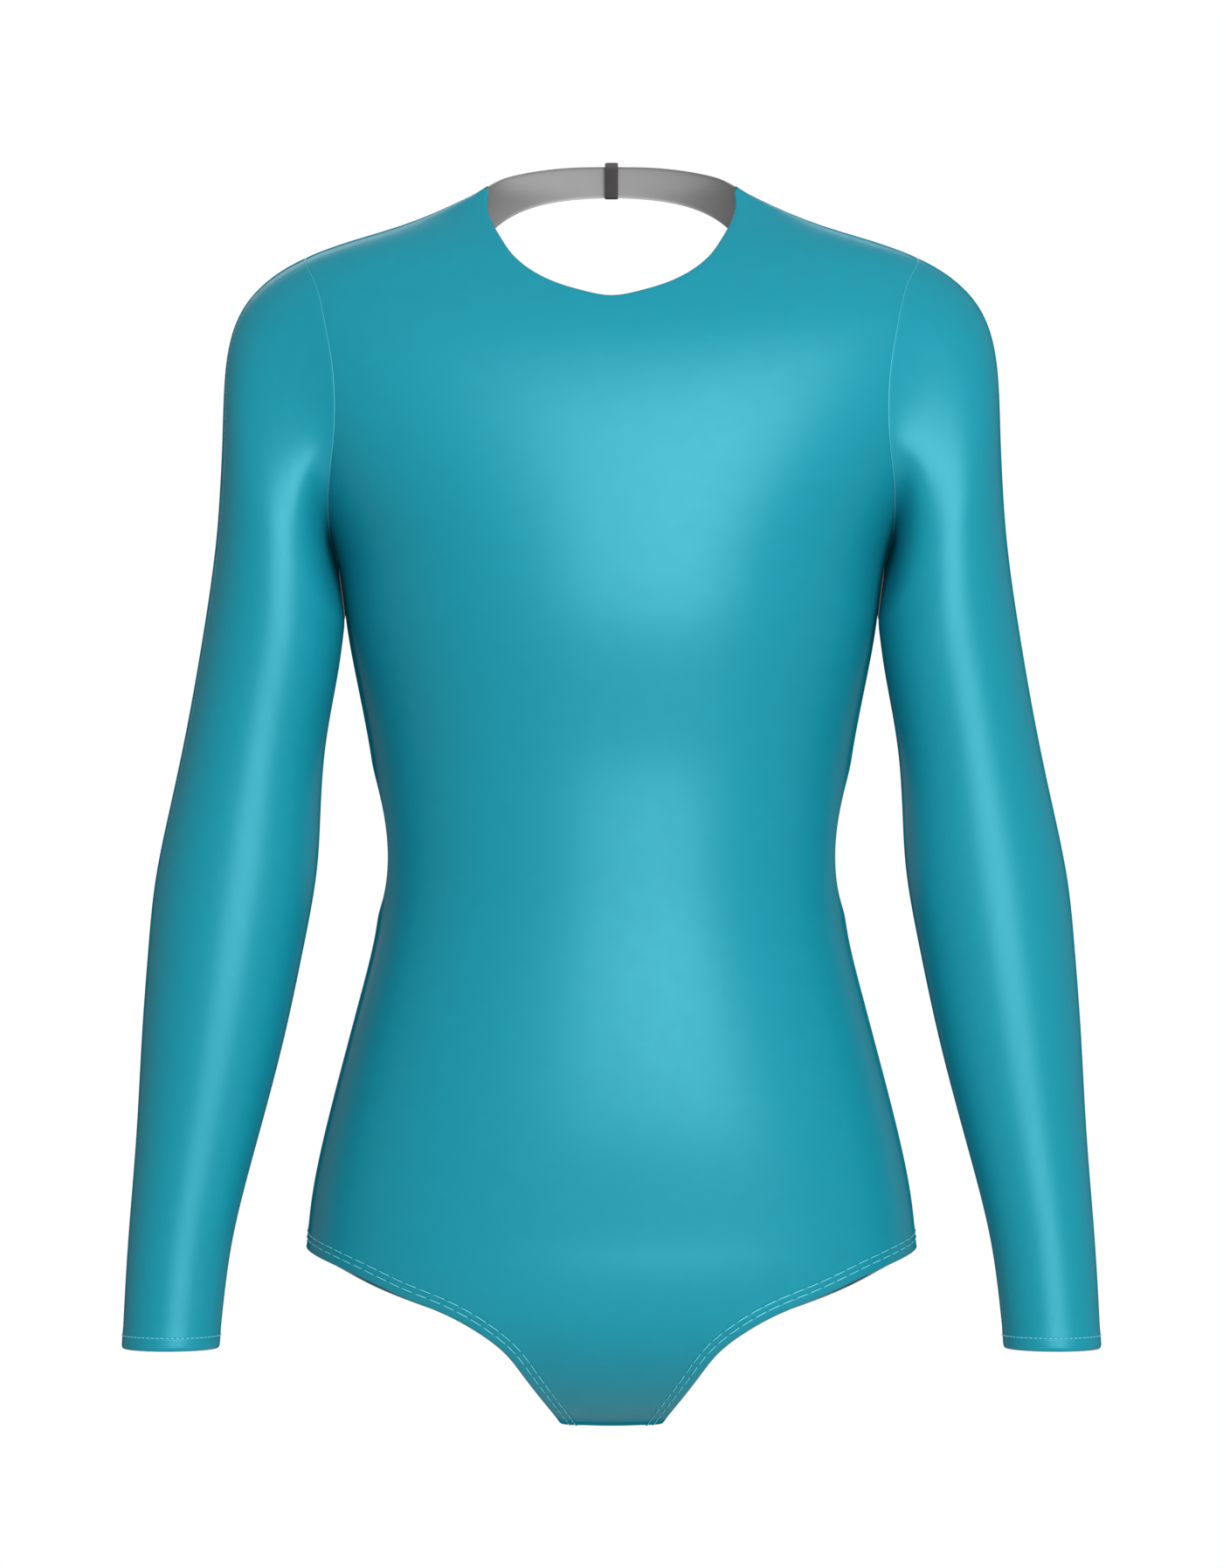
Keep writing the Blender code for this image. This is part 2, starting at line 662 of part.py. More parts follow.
def grid_normals(points):
    """Way out of a tube's surface, from the neighbours of each of its points."""
    around = np.roll(points, -1, axis=1) - np.roll(points, 1, axis=1)
    along = np.gradient(points, axis=0)
    return unit(np.cross(around, along))


def add_sleeves():
    outer = sleeve_outer()
    inner = outer - CLOTH * grid_normals(outer)
    add_grid_wall("sleeve_left", outer, inner, "stretch_knit", tube=True)
    mirror = (-1, 1, 1)
    add_grid_wall("sleeve_right", outer * mirror, inner * mirror, "stretch_knit", tube=True, flip=True)


def tab_column(across):
    """Skin and hollow of the tab at one place across it: up the outside, over the edge of the neck and
    down the inside."""
    heights = np.linspace(column(OPENING_UPPER, "drop")[0], column(NECKLINE_BACK, "drop")[0], TAB_ROWS)
    turns = np.degrees(np.arcsin(abs(across) / torso_size("half_width", heights))) - 90
    face, out = torso(turns, heights), torso_normal(turns, heights)
    outside = face + out * TAB_CLEAR
    inside = face - out * (CLOTH + TAB_CLEAR)
    middle, half_span = (outside[-1] + inside[-1]) / 2, (outside[-1] - inside[-1]) / 2
    up = unit(face[-1] - face[-2])
    bend = [
        middle + half_span * math.cos(a) + up * np.linalg.norm(half_span) * math.sin(a)
        for a in np.radians(np.linspace(*TAB_BEND, TAB_ROWS))
    ]
    hollow = np.concatenate([outside, bend, inside[::-1]])
    away = unit(np.cross(np.gradient(hollow, axis=0), (1.0, 0.0, 0.0)))
    skin = hollow + away * TAB_WALL
    return [np.column_stack([np.full(len(points), across), points[:, 1:]]) for points in (skin, hollow)]


def add_neck_tab():
    """A folded strip that holds the two back halves together."""
    columns = [tab_column(across) for across in np.linspace(-TAB_WIDTH / 2, TAB_WIDTH / 2, TAB_ROWS)]
    skin, hollow = (np.stack([pair[side] for pair in columns], axis=1) for side in (0, 1))
    add_grid_wall("neck_tab", skin, hollow, "neck_tab", flip=True)


def main():
    for obj in list(bpy.data.objects):
        bpy.data.objects.remove(obj)
    add_front()
    add_seat()
    add_back_halves()
    add_sleeves()
    add_neck_tab()


main()
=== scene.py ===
# %% [markdown]
# # A long-sleeved leotard in glossy stretch knit
#
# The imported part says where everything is. This script gives each of its pieces the look of real
# cloth: a thin knit with a satin face and a grey reverse, edges that are turned and sewn, and seams
# that lie in a fine groove. Stretch knit over a full form has no folds of its own, so the pieces are
# smooth and the work goes into their edges, their sewing and the way that they take the light.

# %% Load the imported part
import math

import bpy
import numpy as np
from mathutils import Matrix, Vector
from mathutils.geometry import delaunay_2d_cdt


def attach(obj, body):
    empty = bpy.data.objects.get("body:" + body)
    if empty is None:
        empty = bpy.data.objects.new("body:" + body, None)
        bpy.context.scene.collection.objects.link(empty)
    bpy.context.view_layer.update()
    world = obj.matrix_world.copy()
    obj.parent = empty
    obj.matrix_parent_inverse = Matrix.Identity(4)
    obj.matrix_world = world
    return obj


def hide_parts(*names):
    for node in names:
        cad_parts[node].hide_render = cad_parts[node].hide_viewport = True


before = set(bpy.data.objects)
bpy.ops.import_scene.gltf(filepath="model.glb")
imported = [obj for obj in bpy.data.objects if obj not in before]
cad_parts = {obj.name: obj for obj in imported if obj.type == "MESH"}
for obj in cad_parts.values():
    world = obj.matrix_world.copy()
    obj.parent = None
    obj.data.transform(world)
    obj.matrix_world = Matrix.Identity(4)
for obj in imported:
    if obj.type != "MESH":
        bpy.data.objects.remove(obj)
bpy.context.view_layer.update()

print("nodes", sorted(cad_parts))

# %% [markdown]
# ## Sizes
#
# All sizes are in metres. A real knit of this kind is about 0.6 mm thick. Where an edge is turned and
# sewn down the cloth lies double, so it stands a little proud and rounds over at the fold. At a seam
# both cloths dip together into a fine groove.

# %% Sizes
KNIT = 0.0006  # thickness of the cloth
SEAM_GAP = 0.0001  # clear space between two panels at a seam
SLEEVE_GAP = 0.00012  # and between a panel and a sleeve
HIP_DOWN = 0.578  # where the leg openings reach the side seams
TIP_LENGTH = 0.155  # length down the front over which the sections tip from level to straight down
SHOULDER_DOWN = 0.0385  # outer end of the shoulder seam
UNDERARM_DOWN = 0.232  # lowest point of the armhole
WAIST_CUT_TOP = 0.312  # where the back opening comes round the side seam
WAIST_CUT_FOOT = 0.400  # and where it goes back again
CROTCH_HALF_WIDTH = 0.0275  # half the length of the crotch seam

EDGE_WIDTH = 0.0022  # width over which a panel's edge rounds over
EDGE_ROWS = (0.0, 0.10, 0.28, 0.58, 1.0)  # rows of points over that width, as shares of it
SEAM_DIP = 0.00018  # how deep the cloth goes at the edge, at a seam
NECK_DIP = 0.0008  # at the neckline and round the open back
LEG_DIP = 0.0010  # at a leg opening
CUFF_DIP = 0.0014  # and at a cuff

HEM_PROUD = 0.00030  # how far the double cloth of a hem stands proud
HEM_STEP = 0.0035  # width over which it comes down to single cloth
LEG_HEM = 0.0096  # width of the turned hem at a leg
CUFF_HEM = 0.0080  # and at a cuff
LEG_STITCH_ROWS = (0.0054, 0.0088)  # rows of stitches, from the leg's edge
CUFF_STITCH_ROW = 0.0068  # from the cuff's edge
FAR = 0.05  # distance beyond which a hem plays no part

NET_STEP = 0.004  # between the points inside a panel
EDGE_MARGIN = 0.0022  # least distance from those points to the panel's edge strips
EDGE_STEP = 0.0035  # between the points along an edge
ARMHOLE_ROWS = 56  # points down each half of the armhole
CAP_ROWS = 44
ARM_ROWS = 120
FINE_READS = 1500  # places at which a curve is read before it is divided evenly
HALVINGS = 40
SAME_PLACE = 1e-7
print("knit", KNIT * 1000, "mm, hem at a leg", LEG_HEM * 1000, "mm, hem at a cuff", CUFF_HEM * 1000, "mm")

# %% [markdown]
# ## The form
#
# The torso is one smooth form read at two numbers. "Down" is metres below the origin. "Turn" is
# degrees round from the side seam: 90 is the centre front, 0 the wearer's left side, -90 the centre
# back and 180 the wearer's right side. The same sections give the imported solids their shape. Reading
# them here, more finely, is better than subdividing the solids, because satin shows every facet.

# %% Sections of the torso
TORSO = {
    "columns": ("down", "half_width", "front", "back", "square"),
    "rows": (
        (-0.0160, 0.0620, 0.0000, 0.0500, 2.00),
        (-0.0080, 0.0648, 0.0010, 0.0550, 2.00),
        (0.0000, 0.0682, 0.0050, 0.0600, 2.00),
        (0.0072, 0.0806, 0.0130, 0.0650, 2.00),
        (0.0148, 0.0971, 0.0215, 0.0702, 2.00),
        (0.0224, 0.1171, 0.0298, 0.0748, 2.02),
        (0.0300, 0.1418, 0.0375, 0.0788, 2.05),
        (0.0385, 0.1650, 0.0460, 0.0826, 2.08),
        (0.0500, 0.1835, 0.0565, 0.0868, 2.10),
        (0.0650, 0.1950, 0.0690, 0.0908, 2.14),
        (0.0850, 0.1985, 0.0832, 0.0945, 2.18),
        (0.1100, 0.1940, 0.0965, 0.0968, 2.22),
        (0.1400, 0.1815, 0.1080, 0.0975, 2.26),
        (0.1700, 0.1650, 0.1155, 0.0960, 2.28),
        (0.2030, 0.1500, 0.1198, 0.0925, 2.30),
        (0.2360, 0.1449, 0.1200, 0.0876, 2.30),
        (0.2700, 0.1390, 0.1155, 0.0815, 2.28),
        (0.3120, 0.1311, 0.1083, 0.0742, 2.25),
        (0.3550, 0.1266, 0.1054, 0.0682, 2.22),
        (0.4000, 0.1276, 0.1045, 0.0672, 2.22),
        (0.4400, 0.1365, 0.1056, 0.0735, 2.24),
        (0.4800, 0.1471, 0.1064, 0.0868, 2.26),
        (0.5200, 0.1572, 0.1048, 0.1010, 2.28),
        (0.5500, 0.1632, 0.1012, 0.1095, 2.26),
        (0.5780, 0.1660, 0.0980, 0.1140, 2.22),
        (0.6200, 0.1660, 0.0985, 0.1165, 2.16),
        (0.6700, 0.1660, 0.0988, 0.1090, 2.10),
        (0.7330, 0.1660, 0.0985, 0.0985, 2.05),
    ),
}

# %% [markdown]
# Each edge of a panel is a curve drawn on the torso. A row says how far out from the middle a place
# lies, seen square from the front or the back, and how far it drops below the origin.

# %% Curves on the torso
NECKLINE_FRONT = {
    "columns": ("out", "drop"),
    "rows": (
        (0.0000, 0.0638),
        (0.0148, 0.0612),
        (0.0285, 0.0569),
        (0.0435, 0.0490),
        (0.0531, 0.0405),
        (0.0590, 0.0318),
        (0.0640, 0.0227),
        (0.0675, 0.0125),
        (0.0682, 0.0000),
    ),
}
NECKLINE_BACK = {
    "columns": ("out", "drop"),
    "rows": ((0.0011, -0.0153), (0.0200, -0.0148), (0.0403, -0.0122), (0.0588, -0.0067), (0.0682, 0.0000)),
}
ARMHOLE = {
    "columns": ("out", "drop"),
    "rows": (
        (0.1650, SHOULDER_DOWN),
        (0.1588, 0.0595),
        (0.1533, 0.0828),
        (0.1498, 0.1027),
        (0.1485, 0.1209),
        (0.1489, 0.1388),
        (0.1508, 0.1551),
        (0.1526, 0.1710),
        (0.1530, 0.1890),
        (0.1515, 0.2080),
        (0.1456, UNDERARM_DOWN),
    ),
}
ARMHOLE_BACK = {
    "columns": ("out", "drop"),
    "rows": (
        (0.1500, 0.2120),
        (0.1520, 0.1870),
        (0.1500, 0.1560),
        (0.1474, 0.1220),
        (0.1484, 0.0960),
        (0.1520, 0.0730),
        (0.1588, 0.0530),
    ),
}
OPENING_UPPER = {
    "columns": ("out", "drop"),
    "rows": (
        (0.0011, 0.0008),
        (0.0158, 0.0015),
        (0.0289, 0.0030),
        (0.0424, 0.0060),
        (0.0545, 0.0108),
        (0.0652, 0.0180),
        (0.0740, 0.0300),
        (0.0810, 0.0480),
        (0.0885, 0.0760),
        (0.0955, 0.1100),
        (0.1025, 0.1500),
        (0.1095, 0.1900),
        (0.1170, 0.2300),
        (0.1245, 0.2720),
        (0.1311, WAIST_CUT_TOP),
    ),
}
WAIST_CUT = {
    "columns": ("out", "drop"),
    "rows": (
        (0.1311, WAIST_CUT_TOP),
        (0.1270, 0.3290),
        (0.1232, 0.3460),
        (0.1215, 0.3660),
        (0.1234, 0.3845),
        (0.1276, WAIST_CUT_FOOT),
    ),
}
OPENING_LOWER = {
    "columns": ("out", "drop"),
    "rows": (
        (0.0000, 0.4640),
        (0.0350, 0.4605),
        (0.0700, 0.4490),
        (0.0980, 0.4310),
        (0.1170, 0.4130),
        (0.1276, WAIST_CUT_FOOT),
    ),
}
LEG_FRONT = {
    "columns": ("out", "drop"),
    "rows": (
        (0.1660, HIP_DOWN),
        (0.1489, 0.5864),
        (0.1311, 0.5936),
        (0.1116, 0.6020),
        (0.0886, 0.6109),
        (0.0717, 0.6202),
        (0.0570, 0.6319),
        (0.0480, 0.6438),
        (0.0380, 0.6582),
        (0.0307, 0.6691),
    ),
}
LEG_BACK = {
    "columns": ("out", "drop"),
    "rows": (
        (0.1660, HIP_DOWN),
        (0.1500, 0.5950),
        (0.1360, 0.6040),
        (0.1150, 0.6143),
        (0.0900, 0.6239),
        (0.0750, 0.6301),
        (0.0595, 0.6412),
        (0.0500, 0.6522),
        (0.0390, 0.6656),
        (0.0315, 0.6735),
    ),
}

# %% [markdown]
# A sleeve is a row of rings round the arm, each from its outer point to its inner point as seen from
# the front. A cap joins the first ring to the armhole. The cloth leaves the armhole smoothly, except
# round the underarm, where it is pinched between the arm and the side.

# %% Rings of the sleeve
SLEEVE = {
    "columns": ("outer_x", "outer_z", "inner_x", "inner_z", "middle_y", "half_depth"),
    "rows": (
        (0.2116, -0.1573, 0.1450, -0.2430, -0.0280, 0.0430),
        (0.2144, -0.1975, 0.1476, -0.2630, -0.0300, 0.0425),
        (0.2213, -0.2466, 0.1516, -0.2853, -0.0300, 0.0420),
        (0.2299, -0.2952, 0.1557, -0.3121, -0.0290, 0.0422),
        (0.2387, -0.3369, 0.1578, -0.3439, -0.0280, 0.0432),
        (0.2469, -0.3774, 0.1602, -0.3774, -0.0280, 0.0438),
        (0.2510, -0.4173, 0.1675, -0.4183, -0.0300, 0.0425),
        (0.2540, -0.4618, 0.1769, -0.4628, -0.0340, 0.0385),
        (0.2563, -0.5082, 0.1887, -0.5091, -0.0380, 0.0340),
        (0.2592, -0.5505, 0.1998, -0.5510, -0.0420, 0.0300),
        (0.2617, -0.5869, 0.2069, -0.5869, -0.0450, 0.0275),
        (0.2638, -0.6306, 0.2117, -0.6306, -0.0480, 0.0258),
    ),
}
HANDLE_TOP = (0.44, 0.48)  # reach of the cap's two handles over the shoulder, as shares of its span
HANDLE_UNDER = (0.14, 0.22)  # and under the arm
UNDERARM_LEAD = (0.20, -0.80, -0.56)  # way the sleeve leaves the armhole at its lowest point
CREASE_SPREAD = 0.36  # share of the armhole, round the underarm, over which it bends to that way


# %% [markdown]
# ## Reading the form
#
# A natural cubic spline runs through each column of a table. The torso is a rounded section at each
# level, and a place on it can be found again from a point in space, which is how an edge is moved in
# from the outline to make its rounded strip or a row of stitches.

# %% Functions that read the form
def smooth_curve(stops, values, at):
    """Natural cubic spline through the values at the stops, read at one place or at many."""
    stops, values, at = (np.asarray(v, float) for v in (stops, values, at))
    gaps = np.diff(stops)
    rises = np.diff(values) / gaps
    count = len(stops)
    matrix = np.eye(count)
    right = np.zeros(count)
    for i in range(1, count - 1):
        matrix[i, i - 1 : i + 2] = gaps[i - 1], 2 * (gaps[i - 1] + gaps[i]), gaps[i]
        right[i] = 6 * (rises[i] - rises[i - 1])
    bends = np.linalg.solve(matrix, right)
    i = np.clip(np.searchsorted(stops, at) - 1, 0, count - 2)
    before, after, gap = stops[i + 1] - at, at - stops[i], gaps[i]
    curved = (bends[i] * before**3 + bends[i + 1] * after**3) / (6 * gap)
    level = (values[i] / gap - bends[i] * gap / 6) * before
    return curved + level + (values[i + 1] / gap - bends[i + 1] * gap / 6) * after


def column(table, name):
    return np.array([row[table["columns"].index(name)] for row in table["rows"]])


def torso_size(name, down):
    return smooth_curve(column(TORSO, "down"), column(TORSO, name), down)


def torso(turn, down):
    """Points of the torso's outer side."""
    turn, down = np.asarray(turn, float), np.asarray(down, float)
    angle = np.radians(np.abs(turn))
    across, deep = np.cos(angle), np.sin(angle)
    square = torso_size("square", down)
    round_off = (np.abs(across) ** square + np.abs(deep) ** square) ** (-1 / square)
    depth = np.where(turn >= 0, torso_size("front", down), torso_size("back", down))
    reach = depth * deep * round_off
    tip = np.radians(90) * np.clip((down - HIP_DOWN) / TIP_LENGTH, 0, 1)
    x = torso_size("half_width", down) * across * round_off
    y = np.where(turn >= 0, -1, 1) * reach * np.cos(tip)
    z = -np.minimum(down, HIP_DOWN) - reach * np.sin(tip)
    return np.stack([x, y, z], axis=-1)


def place_on_torso(points):
    """Turn and down of points that lie on the torso, or close to it."""
    x, y, z = points[..., 0], points[..., 1], points[..., 2]
    drop = np.maximum(-z - HIP_DOWN, 0)
    tip = np.degrees(np.arctan2(drop, np.abs(y)))
    down = np.where(drop > 0, HIP_DOWN + TIP_LENGTH * tip / 90, -z)
    depth = np.where(y <= 0, torso_size("front", down), torso_size("back", down))
    reach = np.hypot(y, drop) / depth
    turn = np.degrees(np.arctan2(reach, x / torso_size("half_width", down)))
    return np.stack([np.where(y <= 0, turn, -turn), down], axis=-1)


def unit(vectors):
    return vectors / np.linalg.norm(vectors, axis=-1, keepdims=True)


def torso_normal(turn, down):
    """Way out of the torso, from two short steps over its surface."""
    step_turn, step_down = 0.05, 0.00005  # degrees and metres
    towards_front = torso(turn + step_turn, down) - torso(turn - step_turn, down)
    downwards = torso(turn, down + step_down) - torso(turn, down - step_down)
    return unit(np.cross(towards_front, downwards))


def lengths_along(points):
    return np.concatenate([[0], np.cumsum(np.linalg.norm(np.diff(points, axis=0), axis=1))])


def drawn_on_torso(table, front):
    """Turn and down of the table's rows on the front or the back of the torso."""
    out, drop = column(table, "out"), column(table, "drop")

    def reach(down):
        share = np.clip(out / torso_size("half_width", down), 0, 1)
        square = torso_size("square", down)
        deep = (1 - share**square) ** (1 / square)
        return share, deep, deep * torso_size("front" if front else "back", down)

    # Below the hips the section that passes through the place is found by halving.
    low, high = np.minimum(drop, HIP_DOWN), np.where(drop > HIP_DOWN, HIP_DOWN + TIP_LENGTH, drop)
    for _ in range(HALVINGS):
        middle = (low + high) / 2
        tip = np.radians(90) * np.clip((middle - HIP_DOWN) / TIP_LENGTH, 0, 1)
        above = np.minimum(middle, HIP_DOWN) + reach(middle)[2] * np.sin(tip) < drop
        low, high = np.where(above, middle, low), np.where(above, high, middle)
    down = (low + high) / 2
    share, deep, _ = reach(down)
    turn = np.degrees(np.arctan2(deep, share))
    return np.stack([turn if front else -turn, down], axis=-1)


def crotch_end(front):
    """Turn and down of the outer end of the crotch seam."""
    down = HIP_DOWN + TIP_LENGTH
    share = CROTCH_HALF_WIDTH / torso_size("half_width", down)
    square = torso_size("square", down)
    turn = np.degrees(np.arctan2((1 - share**square) ** (1 / square), share))
    return np.array([[turn if front else -turn, down]])


def curve_through(rows, shares=None, closed=False):
    """Turn and down along a smooth curve through the rows, at shares of its length or EDGE_STEP apart."""
    lap = 3  # rows repeated so that a closed curve, or one from the centre line, joins itself smoothly
    ends = rows[0], rows[-1]
    from_centre = abs(abs(rows[0, 0]) - 90) < SAME_PLACE
    if closed:
        rows = np.concatenate([rows[-lap:], rows, rows[: lap + 1]])
    elif from_centre:
        rows = np.concatenate([(2 * rows[0, 0], 0) + rows[lap:0:-1] * (-1, 1), rows])
    corners = torso(rows[:, 0], rows[:, 1])
    stops = lengths_along(corners)
    first = stops[lap if closed or from_centre else 0]
    last = stops[-lap - 1 if closed else -1]
    fine = np.linspace(first, last, FINE_READS)
    line = np.stack([smooth_curve(stops, corners[:, i], fine) for i in range(3)], axis=-1)
    run = lengths_along(line)
    if shares is None:
        shares = steps(round(run[-1] / EDGE_STEP))
    spots = [np.interp(np.asarray(shares, float) * run[-1], run, line[:, i]) for i in range(3)]
    curve = place_on_torso(np.stack(spots, axis=-1))
    if not closed:
        curve[0], curve[-1] = ends
    return curve


def steps(count, begin=0.0, end=1.0):
    return np.linspace(begin, end, count + 1)


def armhole():
    """The armhole's front and back halves, each from the shoulder to the underarm."""
    loop = np.concatenate([drawn_on_torso(ARMHOLE, True), drawn_on_torso(ARMHOLE_BACK, False)])
    fine = steps(FINE_READS)
    lowest = fine[np.argmax(curve_through(loop, fine, closed=True)[:, 1])]
    halves = [curve_through(loop, steps(ARMHOLE_ROWS, end, lowest), closed=True) for end in (0, 1)]
    for half in halves:
        half[0], half[-1] = (0.0, SHOULDER_DOWN), (0.0, UNDERARM_DOWN)
    return halves


def side_line(first, last):
    """Places down the side seam or the ridge of the shoulder."""
    return np.linspace((0.0, first), (0.0, last), round((last - first) / EDGE_STEP) + 1)


# %% [markdown]
# ## Laying a panel out
#
# A panel is filled with a net of nearly equal triangles, laid out flat, as a cutter would see it. The
# same flat place is kept on the mesh in real metres, so the knit runs true to the grain of each piece.
# The rounded strip along the edge is made of quads, because triangles there would show in the gloss.

# %% Nets and edge strips
def flat_length(down):
    """Length along the panel from a level above every panel to the places that far down."""
    halfway_round = 45.0
    levels = np.linspace(column(TORSO, "down")[0], column(TORSO, "down")[-1], FINE_READS)
    return np.interp(down, levels, lengths_along(torso(np.full(len(levels), halfway_round), levels)))


def quarter_round(down, front):
    """Length round the torso from the side seam to the centre line."""
    return math.pi / 4 * (torso_size("half_width", down) + torso_size("front" if front else "back", down))


def laid_flat(places, front):
    """Places on the torso laid out on a plane, nearly true to size: round from the centre line, and down."""
    turn, down = places[..., 0], places[..., 1]
    return np.stack([(np.abs(turn) / 90 - 1) * quarter_round(down, front), -flat_length(down)], axis=-1)


def put_back(flat, front):
    """Turn and down of points on the plane."""
    downs = np.linspace(column(TORSO, "down")[0], column(TORSO, "down")[-1], FINE_READS)
    down = np.interp(-flat[:, 1], flat_length(downs), downs)
    turn = 90 * (1 + flat[:, 0] / quarter_round(down, front))
    return np.stack([turn if front else -turn, down], axis=-1)


def distance_to(spots, first, second):
    """Least distance from each spot to the straight pieces between two rows of points."""
    across = second - first
    nearest = np.full(len(spots), np.inf)
    for a, b in zip(first, across):
        offset = spots - a
        share = np.clip(offset @ b / max(b @ b, SAME_PLACE**2), 0, 1)
        nearest = np.minimum(nearest, np.linalg.norm(offset - share[:, None] * b, axis=1))
    return nearest


def inside(spots, outline):
    """Which spots on the plane lie inside the outline, and further from it than EDGE_MARGIN."""
    first, second = outline, np.roll(outline, -1, axis=0)
    crossings = np.zeros(len(spots), int)
    for a, b in zip(first, second):
        if a[1] != b[1]:
            level = (a[1] > spots[:, 1]) != (b[1] > spots[:, 1])
            passed = spots[:, 0] < a[0] + (spots[:, 1] - a[1]) * (b[0] - a[0]) / (b[1] - a[1])
            crossings += level & passed
    return (crossings % 2 == 1) & (distance_to(spots, first, second) > EDGE_MARGIN)


def flat_area(flat):
    after = np.roll(flat, -1, axis=0)
    return abs((flat[:, 0] * after[:, 1] - flat[:, 1] * after[:, 0]).sum()) / 2


def mitred(sideways):
    """Way in at each corner of an outline, from the way in of the edge after it."""
    before = np.roll(sideways, 1, axis=0)
    return (sideways + before) / (1 + (sideways * before).sum(-1, keepdims=True))


def moved_in(outline, distance, front):
    """A closed outline moved into its panel on the flat layout."""
    flat = laid_flat(outline, front)
    ahead = unit(np.roll(flat, -1, axis=0) - flat)
    mitre = mitred(np.stack([-ahead[:, 1], ahead[:, 0]], axis=-1))
    return put_back(min((flat + sense * distance * mitre for sense in (1, -1)), key=flat_area), front)


def panel_net(outline, front):
    """Places and faces of a panel: strips of quads along its edge, then a net of triangles."""
    rows = [outline] + [moved_in(outline, EDGE_WIDTH * share, front) for share in EDGE_ROWS[1:]]
    count = len(outline)
    faces = []
    for row in range(len(rows) - 1):
        for i in range(count):
            k = (i + 1) % count
            faces.append([row * count + i, row * count + k, (row + 1) * count + k, (row + 1) * count + i])
    inner = rows[-1]
    flat = laid_flat(inner, front)
    (left, foot), (right, top) = flat.min(axis=0), flat.max(axis=0)
    lattice = []
    for i, level in enumerate(np.arange(foot, top, NET_STEP * math.sqrt(3) / 2)):
        across = np.arange(left, right, NET_STEP) + NET_STEP / 2 * (i % 2)
        lattice.append(np.stack([across, np.full(len(across), level)], axis=-1))
    lattice = np.concatenate(lattice)
    lattice = lattice[inside(lattice, flat)]
    spots = [Vector(spot) for spot in np.concatenate([flat, lattice])]
    edges = [(i, (i + 1) % count) for i in range(count)]
    net = delaunay_2d_cdt(spots, edges, [], 1, SAME_PLACE)
    first = (len(rows) - 1) * count
    faces += [[first + net[3][k][0] for k in face] for face in net[2]]
    return np.concatenate(rows + [put_back(lattice, front)]), faces


def soft_step(values):
    """0 below 0, 1 above 1 and a smooth rise between."""
    values = np.clip(values, 0, 1)
    return values**2 * (3 - 2 * values)


def edge_round(distance, width):
    """Share of an edge's dip at a distance from it: a quarter of an ellipse."""
    near = np.clip(1 - distance / width, 0, 1)
    return 1 - np.sqrt(1 - near**2)


def hem_rise(distance, hem):
    return HEM_PROUD * soft_step((hem + HEM_STEP / 2 - distance) / HEM_STEP)


# %% [markdown]
# ## Materials
#
# The face is a fine warp knit of bright nylon with elastane. Its filaments lie flat and even, so it
# takes the light as satin does: a broad soft highlight in a paler tint of its own colour. The reverse
# is unbrushed and grey. Real wales are 0.45 mm apart and real courses 0.38 mm apart, which is finer
# than a pixel of the picture, so both are drawn two and a half times as coarse.
# The shader also presses a fine valley along each row of stitches, which two attributes on the mesh
# measure, the distance to the first row and to the second.

# %% Material functions
COARSER = 2.5
WALE = 0.00045 * COARSER
COURSE = 0.00038 * COARSER
KNIT_RELIEF = 0.00004  # height of the stitches of the knit
KNIT_STRENGTH = 0.25  # kept low, because the knit is smooth to the touch
MOTTLE = 0.011  # size of the faint unevenness that knitting and dyeing leave
MOTTLE_ROUGHNESS = 0.025  # and how far it moves the roughness up and down
VALLEY = 0.0009  # half width of the valley under a row of stitches
VALLEY_DEPTH = 0.0003
VALLEY_STRENGTH = 0.8
GLOSS_FADE = (0.30, 0.82)  # turns of the cloth, 0 to 1, between which its gloss fades out


def colour(text):
    """An sRGB hex colour as linear light."""
    channels = (int(text[i : i + 2], 16) / 255 for i in (1, 3, 5))
    return [c / 12.92 if c <= 0.04045 else ((c + 0.055) / 1.055) ** 2.4 for c in channels] + [1.0]


def add_node(tree, kind, settings=None, links=None):
    """Adds a node. Settings are its properties or inputs by name, and links come from other outputs."""
    node = tree.nodes.new(kind)
    for name, value in (settings or {}).items():
        if hasattr(node, name):
            setattr(node, name, value)
        else:
            node.inputs[name].default_value = value
    for name, output in (links or {}).items():
        tree.links.new(output, node.inputs[name])
    return node


def new_material(name):
    material = bpy.data.materials.new(name)
    material.use_nodes = True
    shader = material.node_tree.nodes["Principled BSDF"]
    return material, material.node_tree, shader


def knit_height(tree, uv):
    """Height of the knit, from 0 to 1, with stitches in wales and courses."""
    period = math.tau / 20  # the wave node's own period at a scale of 1
    across = {"bands_direction": "X", "Scale": period / WALE}
    along = {"bands_direction": "Y", "Scale": period / COURSE}
    wales, courses = (add_node(tree, "ShaderNodeTexWave", bands, {"Vector": uv}) for bands in (across, along))
    both = add_node(tree, "ShaderNodeMath", {"operation": "MULTIPLY"})
    tree.links.new(wales.outputs["Fac"], both.inputs[0])
    tree.links.new(courses.outputs["Fac"], both.inputs[1])
    return both.outputs[0]


